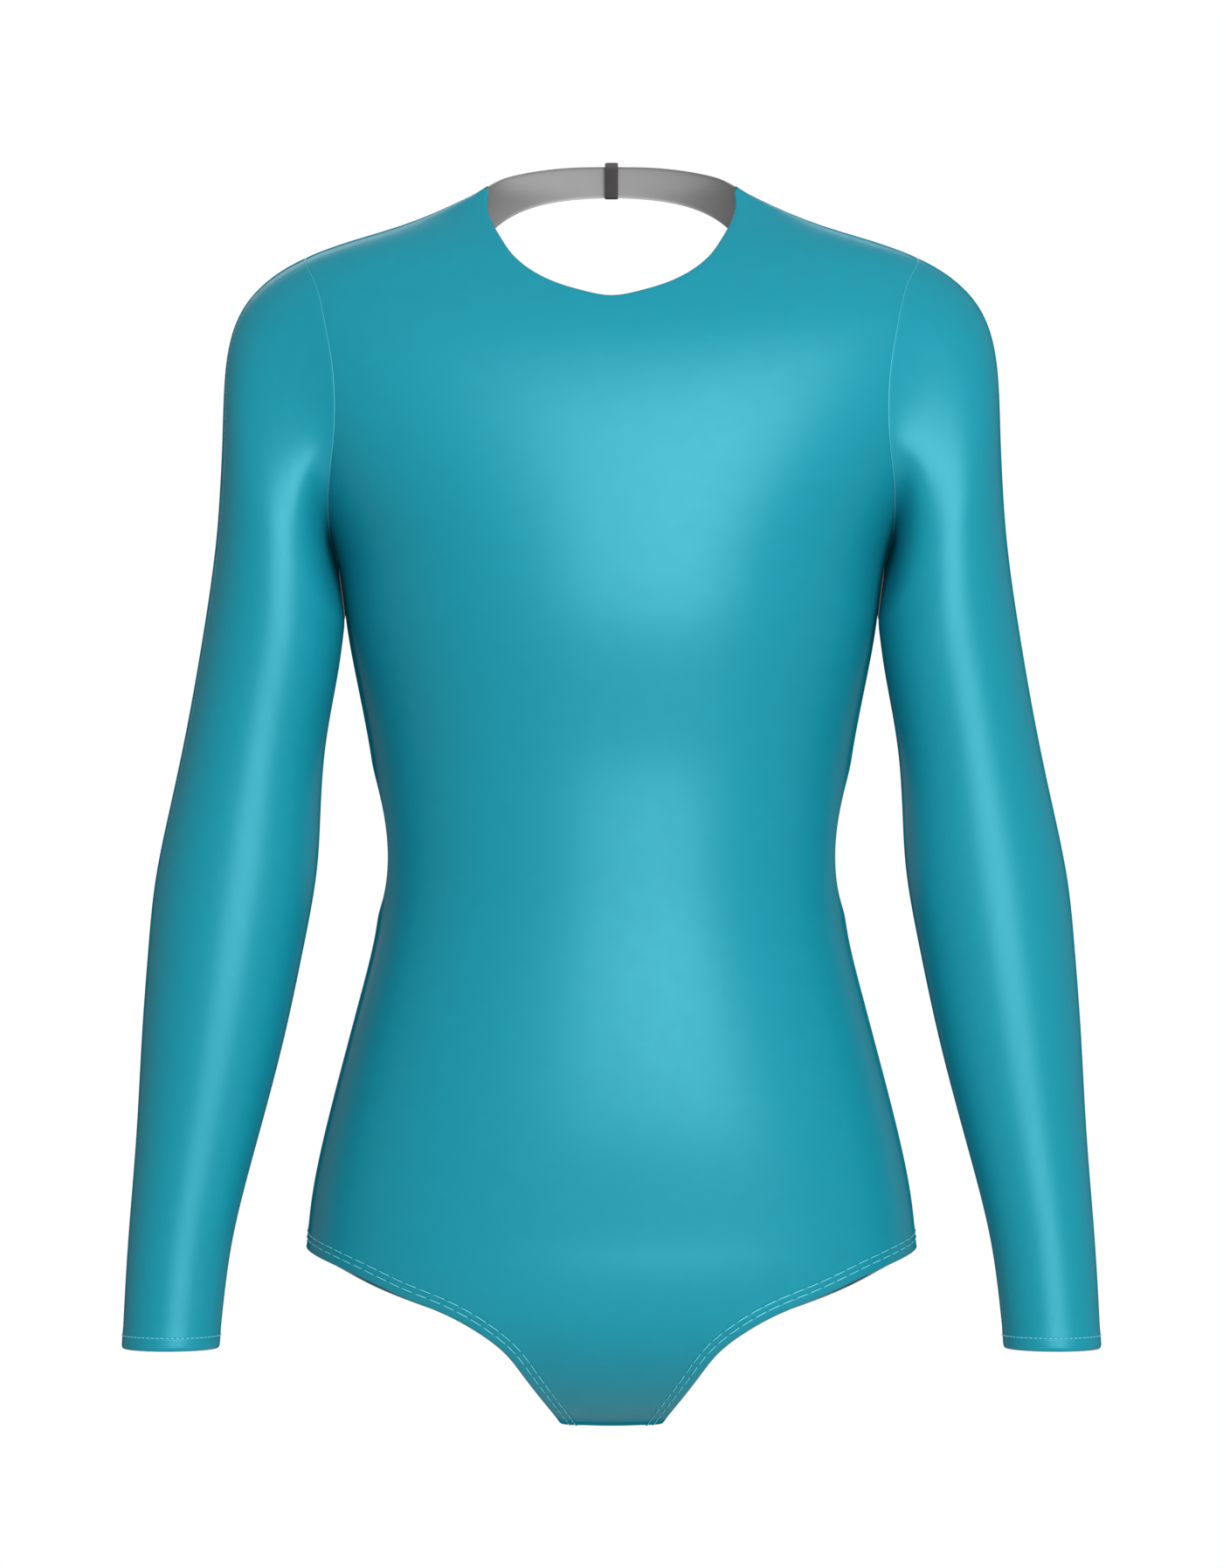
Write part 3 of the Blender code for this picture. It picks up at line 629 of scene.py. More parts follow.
def stitch_valley(tree, attribute):
    """1 on the row of stitches, falling to 0 at VALLEY on both sides of it."""
    source = add_node(tree, "ShaderNodeAttribute", {"attribute_name": attribute})
    size = add_node(tree, "ShaderNodeMath", {"operation": "ABSOLUTE"})
    tree.links.new(source.outputs["Fac"], size.inputs[0])
    settings = {"interpolation_type": "SMOOTHSTEP", "From Max": VALLEY, "To Min": 1.0, "To Max": 0.0}
    return add_node(tree, "ShaderNodeMapRange", settings, {"Value": size.outputs[0]}).outputs["Result"]


def knit_material(name, base, deep, roughness, tint, specular, sheen, valleys=True):
    """Knit in one colour, with a faint mottle towards a deeper one."""
    material, tree, shader = new_material(name)
    uv = add_node(tree, "ShaderNodeUVMap", {"uv_map": "cloth"}).outputs["UV"]
    noise = add_node(tree, "ShaderNodeTexNoise", {"Scale": 1 / MOTTLE, "Detail": 3.0}, {"Vector": uv})
    mix = add_node(tree, "ShaderNodeMix", {"data_type": "RGBA"})
    mix.inputs[6].default_value, mix.inputs[7].default_value = colour(base), colour(deep)
    tree.links.new(noise.outputs["Fac"], mix.inputs[0])
    tree.links.new(mix.outputs[2], shader.inputs["Base Color"])
    limits = {"To Min": roughness - MOTTLE_ROUGHNESS, "To Max": roughness + MOTTLE_ROUGHNESS}
    rough = add_node(tree, "ShaderNodeMapRange", limits)
    tree.links.new(noise.outputs["Fac"], rough.inputs["Value"])
    tree.links.new(rough.outputs["Result"], shader.inputs["Roughness"])
    relief = {"Strength": KNIT_STRENGTH, "Distance": KNIT_RELIEF}
    bump = add_node(tree, "ShaderNodeBump", relief, {"Height": knit_height(tree, uv)})
    for row in ("first_row", "second_row") if valleys else ():
        links = {"Height": stitch_valley(tree, row), "Normal": bump.outputs["Normal"]}
        relief = {"Strength": VALLEY_STRENGTH, "Distance": VALLEY_DEPTH, "invert": True}
        bump = add_node(tree, "ShaderNodeBump", relief, links)
    tree.links.new(bump.outputs["Normal"], shader.inputs["Normal"])
    # Gloss fades where the cloth turns away from the eye, because its threads shade each other there.
    turned_away = add_node(tree, "ShaderNodeLayerWeight", {"Blend": 0.5}).outputs["Facing"]
    fade = {"From Min": GLOSS_FADE[0], "From Max": GLOSS_FADE[1], "To Min": specular, "To Max": 0.0}
    fade["interpolation_type"] = "SMOOTHSTEP"
    gloss = add_node(tree, "ShaderNodeMapRange", fade, {"Value": turned_away})
    tree.links.new(gloss.outputs["Result"], shader.inputs["Specular IOR Level"])
    shader.inputs["Specular Tint"].default_value = colour(tint)
    shader.inputs["Sheen Weight"].default_value = sheen
    shader.inputs["Sheen Roughness"].default_value = 0.4
    shader.inputs["Sheen Tint"].default_value = colour(tint)
    return material


# %% [markdown]
# The materials are these:
#
# - The satin face: bright filaments lie side by side, so the highlight is broad, soft and tinted.
# - The grey reverse: the plain yarn that carries the face. Its loops stand up, so it has almost no gloss.
# - The dark elastic of the tab: spun yarn woven over rubber, so it is matt.
# - The thread: a smooth polyester in a paler turquoise, so each stitch shows against the cloth.

# %% Materials of the cloth
WHITE = "#ffffff"
satin_face = knit_material("satin_knit_face", "#14889a", "#128295", 0.38, "#8fe6f2", 0.84, 0.0)
grey = ("#a9a8a8", "#a3a2a2")
grey_reverse = knit_material("grey_knit_reverse", *grey, 0.62, WHITE, 0.35, 0.10, valleys=False)
tab_elastic = knit_material("dark_elastic", "#4c4a4b", "#474546", 0.70, WHITE, 0.30, 0.05, valleys=False)
stitch_thread, _, thread_shader = new_material("turquoise_thread")
thread_shader.inputs["Base Color"].default_value = colour("#66cfda")
thread_shader.inputs["Roughness"].default_value = 0.5
print("materials", [m.name for m in (satin_face, grey_reverse, tab_elastic, stitch_thread)])


# %% [markdown]
# ## Making a cloth piece
#
# Each piece is a closed shell: the face, the reverse and the rim between them. The faces carry one of
# two materials, the satin face or the grey reverse. Where a hem is turned in, the satin face shows on
# the inside too, as it does on the real garment.

# %% Shells
def shell_faces(faces, count):
    """Faces of a closed shell: the outer side, the inner side count points later, and the rims."""
    edges = [(face[i], face[(i + 1) % len(face)]) for face in faces for i in range(len(face))]
    known = set(edges)
    inner = [[corner + count for corner in reversed(face)] for face in faces]
    rims = [[b, a, a + count, b + count] for a, b in edges if (b, a) not in known]
    return faces + inner + rims


def add_shell(name, node, outer, inner, faces, flat, rows, turned_in, rim_grey):
    """Adds a cloth piece in place of a node, with its flat layout and its distances to stitch rows."""
    count = len(outer)
    mesh = bpy.data.meshes.new(name)
    mesh.from_pydata(np.concatenate([outer, inner]).tolist(), [], shell_faces(faces, count))
    mesh.materials.append(satin_face)
    mesh.materials.append(grey_reverse)
    inner_kind = [0 if all(turned_in[k] for k in face) else 1 for face in faces]
    rims = len(mesh.polygons) - 2 * len(faces)
    kinds = [0] * len(faces) + inner_kind + [1 if rim_grey else 0] * rims
    mesh.polygons.foreach_set("material_index", kinds)
    corners = np.zeros(len(mesh.loops), int)
    mesh.loops.foreach_get("vertex_index", corners)
    layout = mesh.uv_layers.new(name="cloth")
    layout.data.foreach_set("uv", flat[corners % count].ravel())
    for title, values in zip(("first_row", "second_row"), rows):
        attribute = mesh.attributes.new(title, "FLOAT", "POINT")
        attribute.data.foreach_set("value", np.concatenate([values, np.full(count, FAR)]))
    mesh.shade_smooth()
    piece = bpy.data.objects.new(name, mesh)
    bpy.context.scene.collection.objects.link(piece)
    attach(piece, "root")
    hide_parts(node)
    return piece


def facing_out(points, faces, normals):
    """The faces, turned so that they face along the normals of their points."""
    turned = []
    for face in faces:
        a, b, c = (points[face[k]] for k in range(3))
        turned.append(face if np.cross(b - a, c - a) @ normals[face[0]] > 0 else face[::-1])
    return turned


def cloth_area(points, faces):
    corners = [points[[face[k] for face in faces]] for k in range(3)]
    area = np.linalg.norm(np.cross(corners[1] - corners[0], corners[2] - corners[0]), axis=1) / 2
    fourth = [i for i, face in enumerate(faces) if len(face) == 4]
    a, c, d = (points[[faces[i][k] for i in fourth]] for k in (0, 2, 3))
    return area.sum() + (np.linalg.norm(np.cross(c - a, d - a), axis=1) / 2).sum()


def add_panel(name, node, outline, dips, front, legs, flat_size, flat_cut, mirror=1):
    """A panel inside an outline of places. Dips say how deep its edge goes at each of them."""
    places, faces = panel_net(outline, front)
    turn, down = places[:, 0], places[:, 1]
    surface, normals = torso(turn, down), torso_normal(turn, down)
    faces = facing_out(surface, faces, normals)
    count = len(outline)
    dip = np.zeros(len(places))
    for row, share in enumerate(EDGE_ROWS):
        dip[row * count : (row + 1) * count] = dips * edge_round(share, 1.0)
    from_leg = np.full(len(places), FAR)
    for leg in legs:
        line = torso(leg[:, 0], leg[:, 1])
        from_leg = np.minimum(from_leg, distance_to(surface, line[:-1], line[1:]))
    outer = surface + normals * (hem_rise(from_leg, LEG_HEM) - dip)[:, None]
    inner = surface - normals * (KNIT + dip)[:, None]
    for points in (outer, inner):
        if front:
            points[:, 1] = np.minimum(points[:, 1], -SEAM_GAP / 2)
        else:
            points[:, 1] = np.maximum(points[:, 1], SEAM_GAP / 2)
    if mirror < 0:
        outer, inner = outer * (-1, 1, 1), inner * (-1, 1, 1)
        faces = [face[::-1] for face in faces]
    rows = [from_leg - row for row in LEG_STITCH_ROWS]
    turned_in = from_leg < LEG_HEM + HEM_STEP / 2
    piece = add_shell(name, node, outer, inner, faces, laid_flat(places, front), rows, turned_in, not front)
    print(name, "area", round(cloth_area(outer, faces), 4), "m2, faces", len(faces))
    return piece


# %% [markdown]
# ## The panels
#
# The front is one piece from neck to crotch, joined to the back halves at the shoulders and the sides
# and to the seat from the waist down. An edge that is sewn to another dips a little, and a free edge
# rolls in further. Each outline is walked once round, and both halves of the front and the seat are
# one piece of cloth.

# %% Outlines
def walked(*parts):
    """Curves end to end as one outline, and the dip of each point. A part is a curve and its dip."""
    places = np.concatenate([curve[:-1] for curve, dip in parts])
    dips = np.concatenate([np.full(len(curve) - 1, dip) for curve, dip in parts])
    return places, dips


def leg_line(table, front):
    return curve_through(np.concatenate([drawn_on_torso(table, front), crotch_end(front)]))


def crotch_line(leg, centre):
    count = round(CROTCH_HALF_WIDTH / EDGE_STEP)
    return np.linspace(leg[-1], (centre, leg[-1, 1]), count + 1)


def closed_half(parts, centre):
    """A half outline that keeps its last place, on the centre line, then its mirror image."""
    places, dips = walked(*parts)
    places = np.concatenate([places, parts[-1][0][-1:]])
    dips = np.concatenate([dips, [parts[-1][1]]])
    other = ((2 * centre, 0) + places * (-1, 1))[-2:0:-1]
    return np.concatenate([places, other]), np.concatenate([dips, dips[-2:0:-1]])


armhole_front, armhole_back = armhole()
side_seam = side_line(UNDERARM_DOWN, WAIST_CUT_TOP)
shoulder_seam = side_line(0.0, SHOULDER_DOWN)
hip_seam = side_line(WAIST_CUT_FOOT, HIP_DOWN)
leg_front, leg_back = leg_line(LEG_FRONT, True), leg_line(LEG_BACK, False)
for title, line in (("armhole's front half", armhole_front), ("side seam", side_seam), ("leg", leg_front)):
    print(title, round(float(lengths_along(torso(line[:, 0], line[:, 1]))[-1]), 3), "m")

# %% [markdown]
# The front is cut in one piece, so its outline is walked down one side and back up the other.

# %% The front
front_parts = [
    (curve_through(drawn_on_torso(NECKLINE_FRONT, True)), NECK_DIP),
    (shoulder_seam, SEAM_DIP),
    (armhole_front, SEAM_DIP),
    (side_seam, SEAM_DIP),
    (curve_through(drawn_on_torso(WAIST_CUT, True)), NECK_DIP),
    (hip_seam, SEAM_DIP),
    (leg_front, LEG_DIP),
    (crotch_line(leg_front, 90.0), SEAM_DIP),
]
front_outline, front_dips = closed_half(front_parts, 90.0)
right_leg_front = (180.0, 0) + leg_front * (-1, 1)
add_panel(
    "front_panel", "front", front_outline, front_dips, True, [leg_front, right_leg_front], (0.48, 0.74), 0.212
)

# %% [markdown]
# The seat begins at the lower edge of the open back. It is fuller than the front, so its leg edge lies a
# little lower, and a dark strip of it shows below the front's.

# %% The seat
seat_parts = [
    (curve_through(drawn_on_torso(OPENING_LOWER, False)), NECK_DIP),
    (hip_seam * (-1, 1), SEAM_DIP),
    (leg_back, LEG_DIP),
    (crotch_line(leg_back, -90.0), SEAM_DIP),
]
seat_outline, seat_dips = closed_half(seat_parts, -90.0)
right_leg_back = (-180.0, 0) + leg_back * (-1, 1)
legs_back = [leg_back, right_leg_back]
add_panel("seat_panel", "seat", seat_outline, seat_dips, False, legs_back, (0.44, 0.36), 0.077)

# %% [markdown]
# A back half is the neck band, the shoulder and the strip down the side seam in one piece. The other half
# is its mirror image.

# %% The back halves
back_parts = [
    (curve_through(drawn_on_torso(NECKLINE_BACK, False)), NECK_DIP),
    (shoulder_seam * (-1, 1), SEAM_DIP),
    (armhole_back, SEAM_DIP),
    (side_seam * (-1, 1), SEAM_DIP),
    (curve_through(drawn_on_torso(OPENING_UPPER, False))[::-1], NECK_DIP),
]
back_outline, back_dips = walked(*back_parts)
back_outline = np.concatenate([back_outline, back_parts[-1][0][-1:]])
back_dips = np.concatenate([back_dips, [NECK_DIP]])
for side, mirror in (("left", 1), ("right", -1)):
    names = "back_panel_" + side, "back_" + side
    add_panel(*names, back_outline, back_dips, False, [], (0.17, 0.34), 0.022, mirror=mirror)


# %% [markdown]
# ## The sleeves
#
# A sleeve starts from the armhole's own points, so the two edges run side by side, and its cap is a
# row of curves that leave the torso smoothly over the shoulder and arrive in line with the arm.

# %% Sleeve functions
def arm_point(place, around):
    """Points of the sleeve's arm. Place counts the rings, from 1, and around is 0 at the outer side,
    90 at the front and 180 at the inner side."""
    count = len(SLEEVE["rows"])
    ring = {n: smooth_curve(np.arange(1, count + 1), column(SLEEVE, n), place) for n in SLEEVE["columns"]}
    angle = np.radians(around)
    x = (ring["outer_x"] + ring["inner_x"]) / 2 + (ring["outer_x"] - ring["inner_x"]) / 2 * np.cos(angle)
    z = (ring["outer_z"] + ring["inner_z"]) / 2 + (ring["outer_z"] - ring["inner_z"]) / 2 * np.cos(angle)
    y = ring["middle_y"] - ring["half_depth"] * np.sin(angle)
    return np.stack([x, y, z], axis=-1)


def sleeve_start():
    """The armhole's points all round, and the way in which the sleeve's cloth leaves each of them."""
    loop = np.concatenate([armhole_front, armhole_back[-2:0:-1]])
    points = torso(loop[:, 0], loop[:, 1])
    along = np.roll(points, -1, axis=0) - np.roll(points, 1, axis=0)
    smooth_lead = unit(np.cross(torso_normal(loop[:, 0], loop[:, 1]), along))
    nearness = 1 - np.abs(np.arange(len(loop)) / len(loop) - 0.5) / CREASE_SPREAD
    crease = soft_step(nearness)[:, None]
    lead = unit(smooth_lead * (1 - crease) + np.array(UNDERARM_LEAD) * crease)
    return points + SLEEVE_GAP * lead, lead


FIRST_RING = 1.0
SHORT_WAY = 0.05  # a twentieth of the way from one ring to the next
CLOSE_ROWS = 6  # rows of points over the rounded edge at the armhole
CLOSE_STEP = 0.004  # between them, as a share of the cap
AFTER_CLOSE = 0.012  # and to the next row
CUFF_ROWS = (0.052, 0.034, 0.020, 0.009, 0.003, 0.0)  # rows over the edge of the cuff, in rings from it
BEFORE_CUFF = 0.02


def cap_shares():
    """Places down the cap, close together where the edge rounds over."""
    close = CLOSE_STEP * np.arange(CLOSE_ROWS)
    return np.concatenate([close, np.linspace(close[-1] + AFTER_CLOSE, 1, CAP_ROWS)[:-1]])


def arm_places():
    """Places down the arm, close together at the cuff."""
    close = len(SLEEVE["rows"]) - np.array(CUFF_ROWS)
    return np.concatenate([np.linspace(FIRST_RING, close[0] - BEFORE_CUFF, ARM_ROWS), close])


def sleeve_grid():
    """Points of the sleeve's outer side: rows down the cap and the arm, columns round it."""
    start, lead = sleeve_start()
    around = np.arange(len(start)) * 360 / len(start)
    finish = arm_point(FIRST_RING, around)
    arrival = unit(arm_point(FIRST_RING + SHORT_WAY, around) - finish)
    span = np.linalg.norm(finish - start, axis=1, keepdims=True)
    topness = ((1 + np.cos(np.radians(around))) / 2)[:, None]
    first = start + lead * span * (HANDLE_UNDER[0] + (HANDLE_TOP[0] - HANDLE_UNDER[0]) * topness)
    second = finish - arrival * span * (HANDLE_UNDER[1] + (HANDLE_TOP[1] - HANDLE_UNDER[1]) * topness)
    cap = [
        (1 - t) ** 3 * start + 3 * (1 - t) ** 2 * t * first + 3 * (1 - t) * t**2 * second + t**3 * finish
        for t in cap_shares()
    ]
    return np.array(cap + [arm_point(place, around) for place in arm_places()])


def grid_normals(points):
    """Way out of a tube's surface, from the neighbours of each of its points."""
    around = np.roll(points, -1, axis=1) - np.roll(points, 1, axis=1)
    along = np.empty_like(points)
    along[1:-1] = points[2:] - points[:-2]
    along[0], along[-1] = points[1] - points[0], points[-1] - points[-2]
    return unit(np.cross(around, along))


# %% [markdown]
# Each sleeve is one closed shell. Its rim at the armhole runs beside the body's, and its hem at the cuff
# is turned in, so the satin face shows just inside the cuff.

# %% Sleeves
sleeve_surface = sleeve_grid()
sleeve_normals = grid_normals(sleeve_surface)
sleeve_rows, sleeve_columns = sleeve_surface.shape[:2]
row_lengths = np.linalg.norm(np.diff(sleeve_surface, axis=0), axis=2)
from_armhole = np.concatenate([np.zeros((1, sleeve_columns)), np.cumsum(row_lengths, axis=0)])
from_cuff = from_armhole[-1] - from_armhole


def add_sleeve(name, node, side):
    dip = SEAM_DIP * edge_round(from_armhole, EDGE_WIDTH) + CUFF_DIP * edge_round(from_cuff, EDGE_WIDTH)
    proud = hem_rise(from_cuff, CUFF_HEM)
    outer = sleeve_surface + sleeve_normals * (proud - dip)[..., None]
    inner = sleeve_surface - sleeve_normals * (KNIT + dip)[..., None]
    faces = []
    for i in range(sleeve_rows - 1):
        for j in range(sleeve_columns):
            k = (j + 1) % sleeve_columns
            a, b = i * sleeve_columns, (i + 1) * sleeve_columns
            faces.append([a + j, a + k, b + k, b + j])
    if side < 0:
        faces = [face[::-1] for face in faces]
    mirror = (side, 1, 1)
    girth = np.linalg.norm(np.roll(sleeve_surface, -1, axis=1) - sleeve_surface, axis=2)
    round_arm = np.cumsum(girth, axis=1)
    flat = np.stack([round_arm, -from_armhole], axis=-1).reshape(-1, 2)
    rows = [(from_cuff - CUFF_STITCH_ROW).ravel(), np.full(from_cuff.size, FAR)]
    turned_in = (from_cuff < CUFF_HEM + HEM_STEP / 2).ravel()
    outer, inner = outer.reshape(-1, 3) * mirror, inner.reshape(-1, 3) * mirror
    piece = add_shell(name, node, outer, inner, faces, flat, rows, turned_in, False)
    print(name, "area", round(cloth_area(outer, faces), 4), "m2, faces", len(faces))


add_sleeve("sleeve_panel_left", "sleeve_left", 1)
add_sleeve("sleeve_panel_right", "sleeve_right", -1)

# %% [markdown]
# ## The tab
#
# A narrow strip of dark elastic goes over the neck edge where the two halves of the band meet, and
# holds them together. Its cross ribs are finer than the knit's and its edges are bound hard.

# %% Tab
TAB_WIDTH = 0.0072
TAB_WALL = 0.0009
TAB_CLEAR = 0.0006
TAB_BEND = (25, 155)
TAB_ROWS = 14
TAB_COLUMNS = 12
TAB_EDGE = 0.0004  # how far the tab's long edges round down
TAB_SQUARE = 6  # the higher, the nearer to its long edges the tab stays flat
PACKED_WALL = 0.0015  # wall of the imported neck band, which the tab goes round


def tab_column(across):
    """Skin and hollow of the tab at one place across it: up the outside, over the edge of the neck and
    down the inside."""
    heights = np.linspace(column(OPENING_UPPER, "drop")[0], column(NECKLINE_BACK, "drop")[0], TAB_ROWS)
    turns = np.degrees(np.arcsin(abs(across) / torso_size("half_width", heights))) - 90
    face, out = torso(turns, heights), torso_normal(turns, heights)
    outside = face + out * TAB_CLEAR
    inside_fold = face - out * (PACKED_WALL + TAB_CLEAR)
    middle, half_span = (outside[-1] + inside_fold[-1]) / 2, (outside[-1] - inside_fold[-1]) / 2
    up = unit(face[-1] - face[-2])
    bend = [
        middle + half_span * math.cos(a) + up * np.linalg.norm(half_span) * math.sin(a)
        for a in np.radians(np.linspace(*TAB_BEND, TAB_ROWS))
    ]
    hollow = np.concatenate([outside, bend, inside_fold[::-1]])
    away = unit(np.cross(np.gradient(hollow, axis=0), (1.0, 0.0, 0.0)))
    edge = TAB_EDGE * (abs(across) / (TAB_WIDTH / 2)) ** TAB_SQUARE
    skin = hollow + away * (TAB_WALL - edge)
    return [np.column_stack([np.full(len(points), across), points[:, 1:]]) for points in (skin, hollow)]


tab_columns = [tab_column(across) for across in np.linspace(-TAB_WIDTH / 2, TAB_WIDTH / 2, TAB_COLUMNS + 1)]
tab_skin, tab_hollow = (np.stack([pair[side] for pair in tab_columns], axis=1) for side in (0, 1))
rows, columns = tab_skin.shape[:2]
tab_faces = [
    [i * columns + j, (i + 1) * columns + j, (i + 1) * columns + j + 1, i * columns + j + 1]
    for i in range(rows - 1)
    for j in range(columns - 1)
]
tab_length = lengths_along(tab_skin[:, columns // 2])
tab_flat = np.stack(np.meshgrid(np.linspace(0, TAB_WIDTH, columns), tab_length), axis=-1).reshape(-1, 2)
away = [np.full(rows * columns, FAR)] * 2
tab = add_shell(
    "tab_loop", "neck_tab", tab_skin.reshape(-1, 3), tab_hollow.reshape(-1, 3), tab_faces, tab_flat, away,
    np.ones(rows * columns, bool), False,
)
tab.data.materials[0] = tab_elastic
print("tab length", round(float(tab_length[-1]), 4), "m, too narrow a strip to be declared as a sheet")

# %% [markdown]
# ## Stitches
#
# The leg hems are held by a twin needle: two rows of long stitches 3.4 mm apart. The cuffs have one
# row of short stitches. Each stitch is a short thread that rises from one hole in the cloth and goes
# down into the next, so it is thickest and highest in its middle.

# %% Stitch functions
THREAD = 0.00026  # radius of the thread
LEG_STITCH = (0.0070, 0.0014)  # length of a stitch and the gap to the next
CUFF_STITCH = (0.0022, 0.0006)
THREAD_SIDES = 6
THREAD_SHARES = (0.0, 0.12, 0.35, 0.65, 0.88, 1.0)  # points along a stitch
THREAD_RISE = (-0.8, 0.15, 0.55, 0.55, 0.15, -0.8)  # their height over the cloth, in radii
THREAD_SIZE = (0.5, 0.9, 1.0, 1.0, 0.9, 0.5)  # and their thickness
THREAD_SIDEWAYS = (0.31, 0.87, 0.38)  # any way that no thread runs along
UNEVEN_PLACE = 0.04  # how far stitches differ in place and in thickness, as shares
UNEVEN_SIZE = 0.06


def thread_tube(points, sizes):
    """Rings round a thread's points, and the faces between them."""
    along = unit(np.gradient(points, axis=0))
    side = unit(np.cross(along, THREAD_SIDEWAYS))
    other = np.cross(along, side)
    angles = np.arange(THREAD_SIDES) * math.tau / THREAD_SIDES
    rings = [
        p + s * (np.outer(np.cos(angles), a) + np.outer(np.sin(angles), b))
        for p, s, a, b in zip(points, sizes, side, other)
    ]
    faces = []
    for i in range(len(points) - 1):
        for j in range(THREAD_SIDES):
            k = (j + 1) % THREAD_SIDES
            a, b = i * THREAD_SIDES, (i + 1) * THREAD_SIDES
            faces.append([a + j, a + k, b + k, b + j])
    last = (len(points) - 1) * THREAD_SIDES
    faces.append(list(range(THREAD_SIDES))[::-1])
    faces.append([last + j for j in range(THREAD_SIDES)])
    return np.concatenate(rings), faces


def stitched(line, normals, stitch, seed):
    """Threads of one row of stitches along a line on the cloth."""
    length, gap = stitch
    run = lengths_along(line)
    count = round(run[-1] / (length + gap))
    pitch = run[-1] / count
    uneven = np.random.default_rng(seed).uniform(-1, 1, (count, 2))
    threads = []
    for i in range(count):
        begin = (i + 0.5) * pitch - length / 2 * (1 + UNEVEN_PLACE * uneven[i, 0])
        at = begin + np.array(THREAD_SHARES) * length
        points = np.stack([np.interp(at, run, line[:, k]) for k in range(3)], axis=-1)
        out = unit(np.stack([np.interp(at, run, normals[:, k]) for k in range(3)], axis=-1))
        points = points + out * (np.array(THREAD_RISE) * THREAD)[:, None]
        size = THREAD * (1 + UNEVEN_SIZE * uneven[i, 1])
        threads.append(thread_tube(points, size * np.array(THREAD_SIZE)))
    return threads


def add_tubes(name, tubes, material):
    """One piece made of tubes that lie on the cloth."""
    points, faces, count = [], [], 0
    for rings, own in tubes:
        faces += [[k + count for k in face] for face in own]
        points.append(rings)
        count += len(rings)
    mesh = bpy.data.meshes.new(name)
    mesh.from_pydata(np.concatenate(points).tolist(), [], faces)
    mesh.materials.append(material)
    mesh.shade_smooth()
    piece = bpy.data.objects.new(name, mesh)
    bpy.context.scene.collection.objects.link(piece)
    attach(piece, "root")
    print(name, len(tubes), "in all")


# %% [markdown]
# A set-in sleeve is joined to the body by an overlocked seam on the inside. Outside, only a hairline
# shows, a little paler than the cloth because the stretched edges catch the light. It is made as a
# very fine ridge that lies in the groove between the two pieces. Its paler colour is a painted
# highlight for the light that those edges catch.

# %% Armhole seams
SEAM_RIDGE = 0.00022  # radius of the ridge
SEAM_SUNK = 0.0001  # how far its middle lies below the cloth's surface
seam_ridge_highlight_material, _, seam_ridge_highlight_shader = new_material("seam_ridge_painted_highlight")
# Paler turquoise than the cloth: a painted highlight for the light on the seam's stretched edges.
seam_ridge_highlight_shader.inputs["Base Color"].default_value = colour("#3fb0bf")
seam_ridge_highlight_shader.inputs["Roughness"].default_value = 0.45

armhole_line = sleeve_surface[0] - sleeve_normals[0] * SEAM_SUNK
for name, side in (("armhole_seam_left", 1), ("armhole_seam_right", -1)):
    loop = np.concatenate([armhole_line, armhole_line[:1]]) * (side, 1, 1)
    add_tubes(name, [thread_tube(loop, np.full(len(loop), SEAM_RIDGE))], seam_ridge_highlight_material)
print("seam at an armhole", round(float(lengths_along(loop)[-1]), 3), "m")

# %% [markdown]
# The stitches at the legs follow the edge at the twin needle's two distances, and end at the crotch seam.

# %% Stitches at the legs
def leg_row(leg, distance):
    """A line on the hem at a distance from the leg's edge, and the way out of the cloth."""
    edge = torso(leg[:, 0], leg[:, 1])
    across = unit(np.cross(torso_normal(leg[:, 0], leg[:, 1]), np.gradient(edge, axis=0)))
    upwards = across * np.sign(across[:, 2].mean())
    places = place_on_torso(edge + distance * upwards)
    normals = torso_normal(places[:, 0], places[:, 1])
    return torso(places[:, 0], places[:, 1]) + normals * HEM_PROUD, normals


def add_leg_stitches(name, leg, seed):
    threads = []
    for row, distance in enumerate(LEG_STITCH_ROWS):
        line, normals = leg_row(leg, distance)
        for side in (1, -1):
            threads += stitched(line * (side, 1, 1), normals * (side, 1, 1), LEG_STITCH, seed + row)
    add_tubes(name, threads, stitch_thread)


add_leg_stitches("leg_stitches_front", leg_front, 3)
add_leg_stitches("leg_stitches_seat", leg_back, 5)

# %% [markdown]
# A cuff has one row. Its short stitches nearly touch, so they read as a fine continuous line.

# %% Stitches at the cuffs
CUFF_READS = 200  # places round the cuff


def cuff_row():
    """A line on the hem of the cuff, and the way out of the cloth."""
    around = np.linspace(0, 360, CUFF_READS)
    last = len(SLEEVE["rows"])
    ring_step = np.linalg.norm(arm_point(last, 90.0) - arm_point(last - 1, 90.0))
    place = last - CUFF_STITCH_ROW / ring_step
    line = arm_point(place, around)
    upper = arm_point(place - SHORT_WAY, around)
    normals = unit(np.cross(np.gradient(line, axis=0), line - upper))
    return line + normals * HEM_PROUD, normals


cuff_line, cuff_normals = cuff_row()
for name, side in (("cuff_stitches_left", 1), ("cuff_stitches_right", -1)):
    threads = stitched(cuff_line * (side, 1, 1), cuff_normals * (side, 1, 1), CUFF_STITCH, 7)
    add_tubes(name, threads, stitch_thread)

# %% [markdown]
# ## Stage, light and camera
#
# The garment is shown as worn, in the air, so the floor lies far below it. The studio behind is plain
# white, but lights the cloth only softly. One very large soft box stands behind the camera, a little to
# the right and above. It draws the broad highlights on the chest and the belly, the long ones down the
# sleeves, and leaves the sides deep. A second one behind lights the back, for the views from there. It is
# hidden from the camera itself. The camera stands far off, level with the waist.

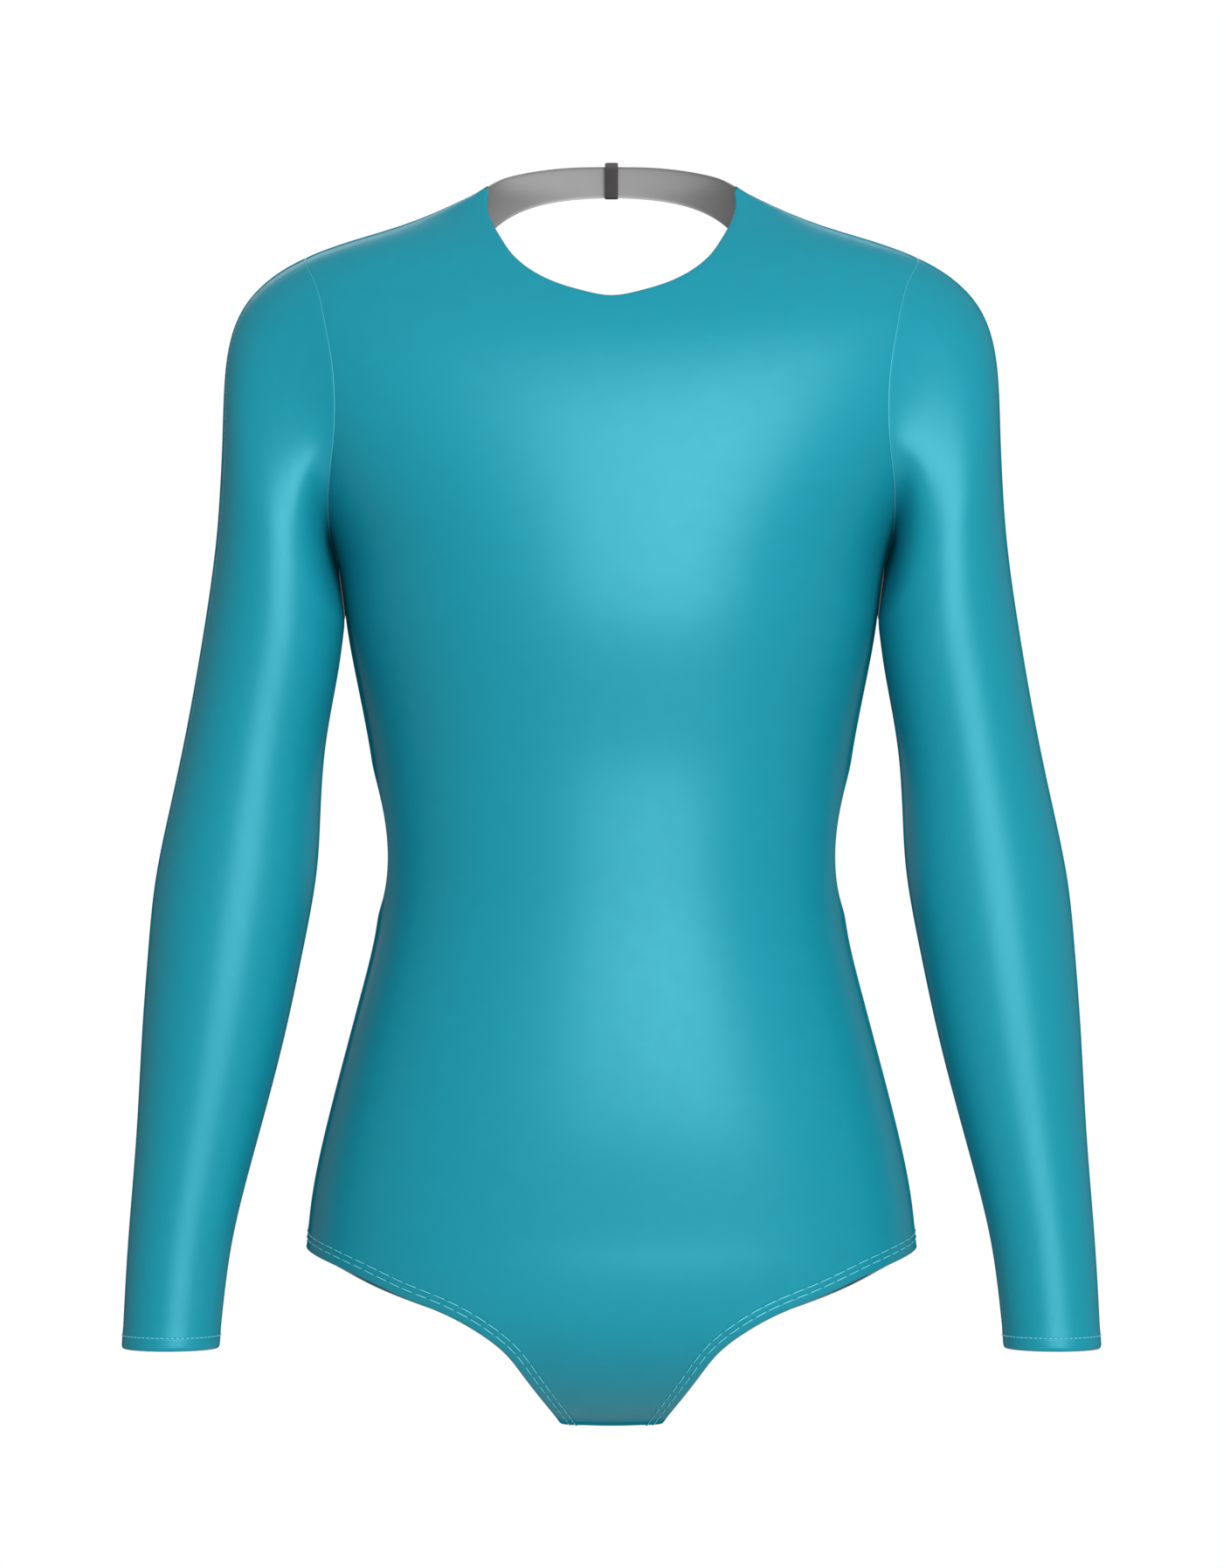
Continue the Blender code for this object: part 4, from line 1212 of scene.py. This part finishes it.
# %% Floor and lights
FLOOR_DOWN = 1.42
FLOOR_RADIUS = 2.4
FLOOR_SIDES = 96
SOFT_STRENGTH = 0.32  # of the white studio as a light
GARMENT_MIDDLE = (0, 0, -0.30)
SOFT_BOXES = {
    "columns": ("name", "place", "size", "watts"),
    "rows": (
        ("back_soft_box", (-0.40, 3.40, 1.00), (2.6, 2.6), 85),
        ("soft_box", (0.95, -3.95, 1.30), (3.2, 5.4), 272),
    ),
}

floor_place = (0, 0, -FLOOR_DOWN)
bpy.ops.mesh.primitive_circle_add(
    vertices=FLOOR_SIDES, radius=FLOOR_RADIUS, fill_type="NGON", location=floor_place
)
floor = bpy.context.object
floor.name = "floor"
floor_material, _, floor_shader = new_material("pale_floor")
floor_shader.inputs["Base Color"].default_value = colour("#c6c6c6")
floor_shader.inputs["Roughness"].default_value = 0.9
floor.data.materials.append(floor_material)

world = bpy.data.worlds.new("white_studio")
world.use_nodes = True
background = world.node_tree.nodes["Background"]
background.inputs["Color"].default_value = (1, 1, 1, 1)
seen = add_node(world.node_tree, "ShaderNodeLightPath").outputs["Is Camera Ray"]
levels = {"To Min": SOFT_STRENGTH, "To Max": 1.0}
strength = add_node(world.node_tree, "ShaderNodeMapRange", levels, {"Value": seen})
world.node_tree.links.new(strength.outputs["Result"], background.inputs["Strength"])
bpy.context.scene.world = world


def add_light(name, place, aim, size, watts):
    """A rectangular soft light at a place, turned to a point."""
    data = bpy.data.lights.new(name, "AREA")
    data.shape, data.size, data.size_y, data.energy = "RECTANGLE", size[0], size[1], watts
    light = bpy.data.objects.new(name, data)
    light.location = place
    light.rotation_euler = (Vector(aim) - Vector(place)).to_track_quat("-Z", "Y").to_euler()
    light.visible_camera = False
    bpy.context.scene.collection.objects.link(light)


for name, place, size, watts in SOFT_BOXES["rows"]:
    add_light(name, place, GARMENT_MIDDLE, size, watts)
    print(name, size, "m,", watts, "W")

# %% [markdown]
# The lens is long, because the photograph shows almost no perspective: the sleeves are seen square on and
# the inside of the neck band is seen only as far as its lower edge.

# %% Camera
CAMERA_BACK = 3.8
CAMERA_LEVEL = -0.3265  # height of the middle of the picture
VIEW_HEIGHT = 0.8562  # height of what the picture shows at the garment's middle
SENSOR_HEIGHT = 36.0  # millimetres

camera_data = bpy.data.cameras.new("camera")
camera_data.sensor_fit = "VERTICAL"
camera_data.sensor_height = SENSOR_HEIGHT
camera_data.lens = SENSOR_HEIGHT * CAMERA_BACK / VIEW_HEIGHT
camera = bpy.data.objects.new("camera", camera_data)
camera.location = (0.0, -CAMERA_BACK, CAMERA_LEVEL)
camera.rotation_euler = (math.radians(90), 0, 0)
bpy.context.scene.collection.objects.link(camera)
bpy.context.scene.camera = camera
bpy.context.scene.view_settings.view_transform = "Standard"
print("lens", round(camera_data.lens, 1), "mm")
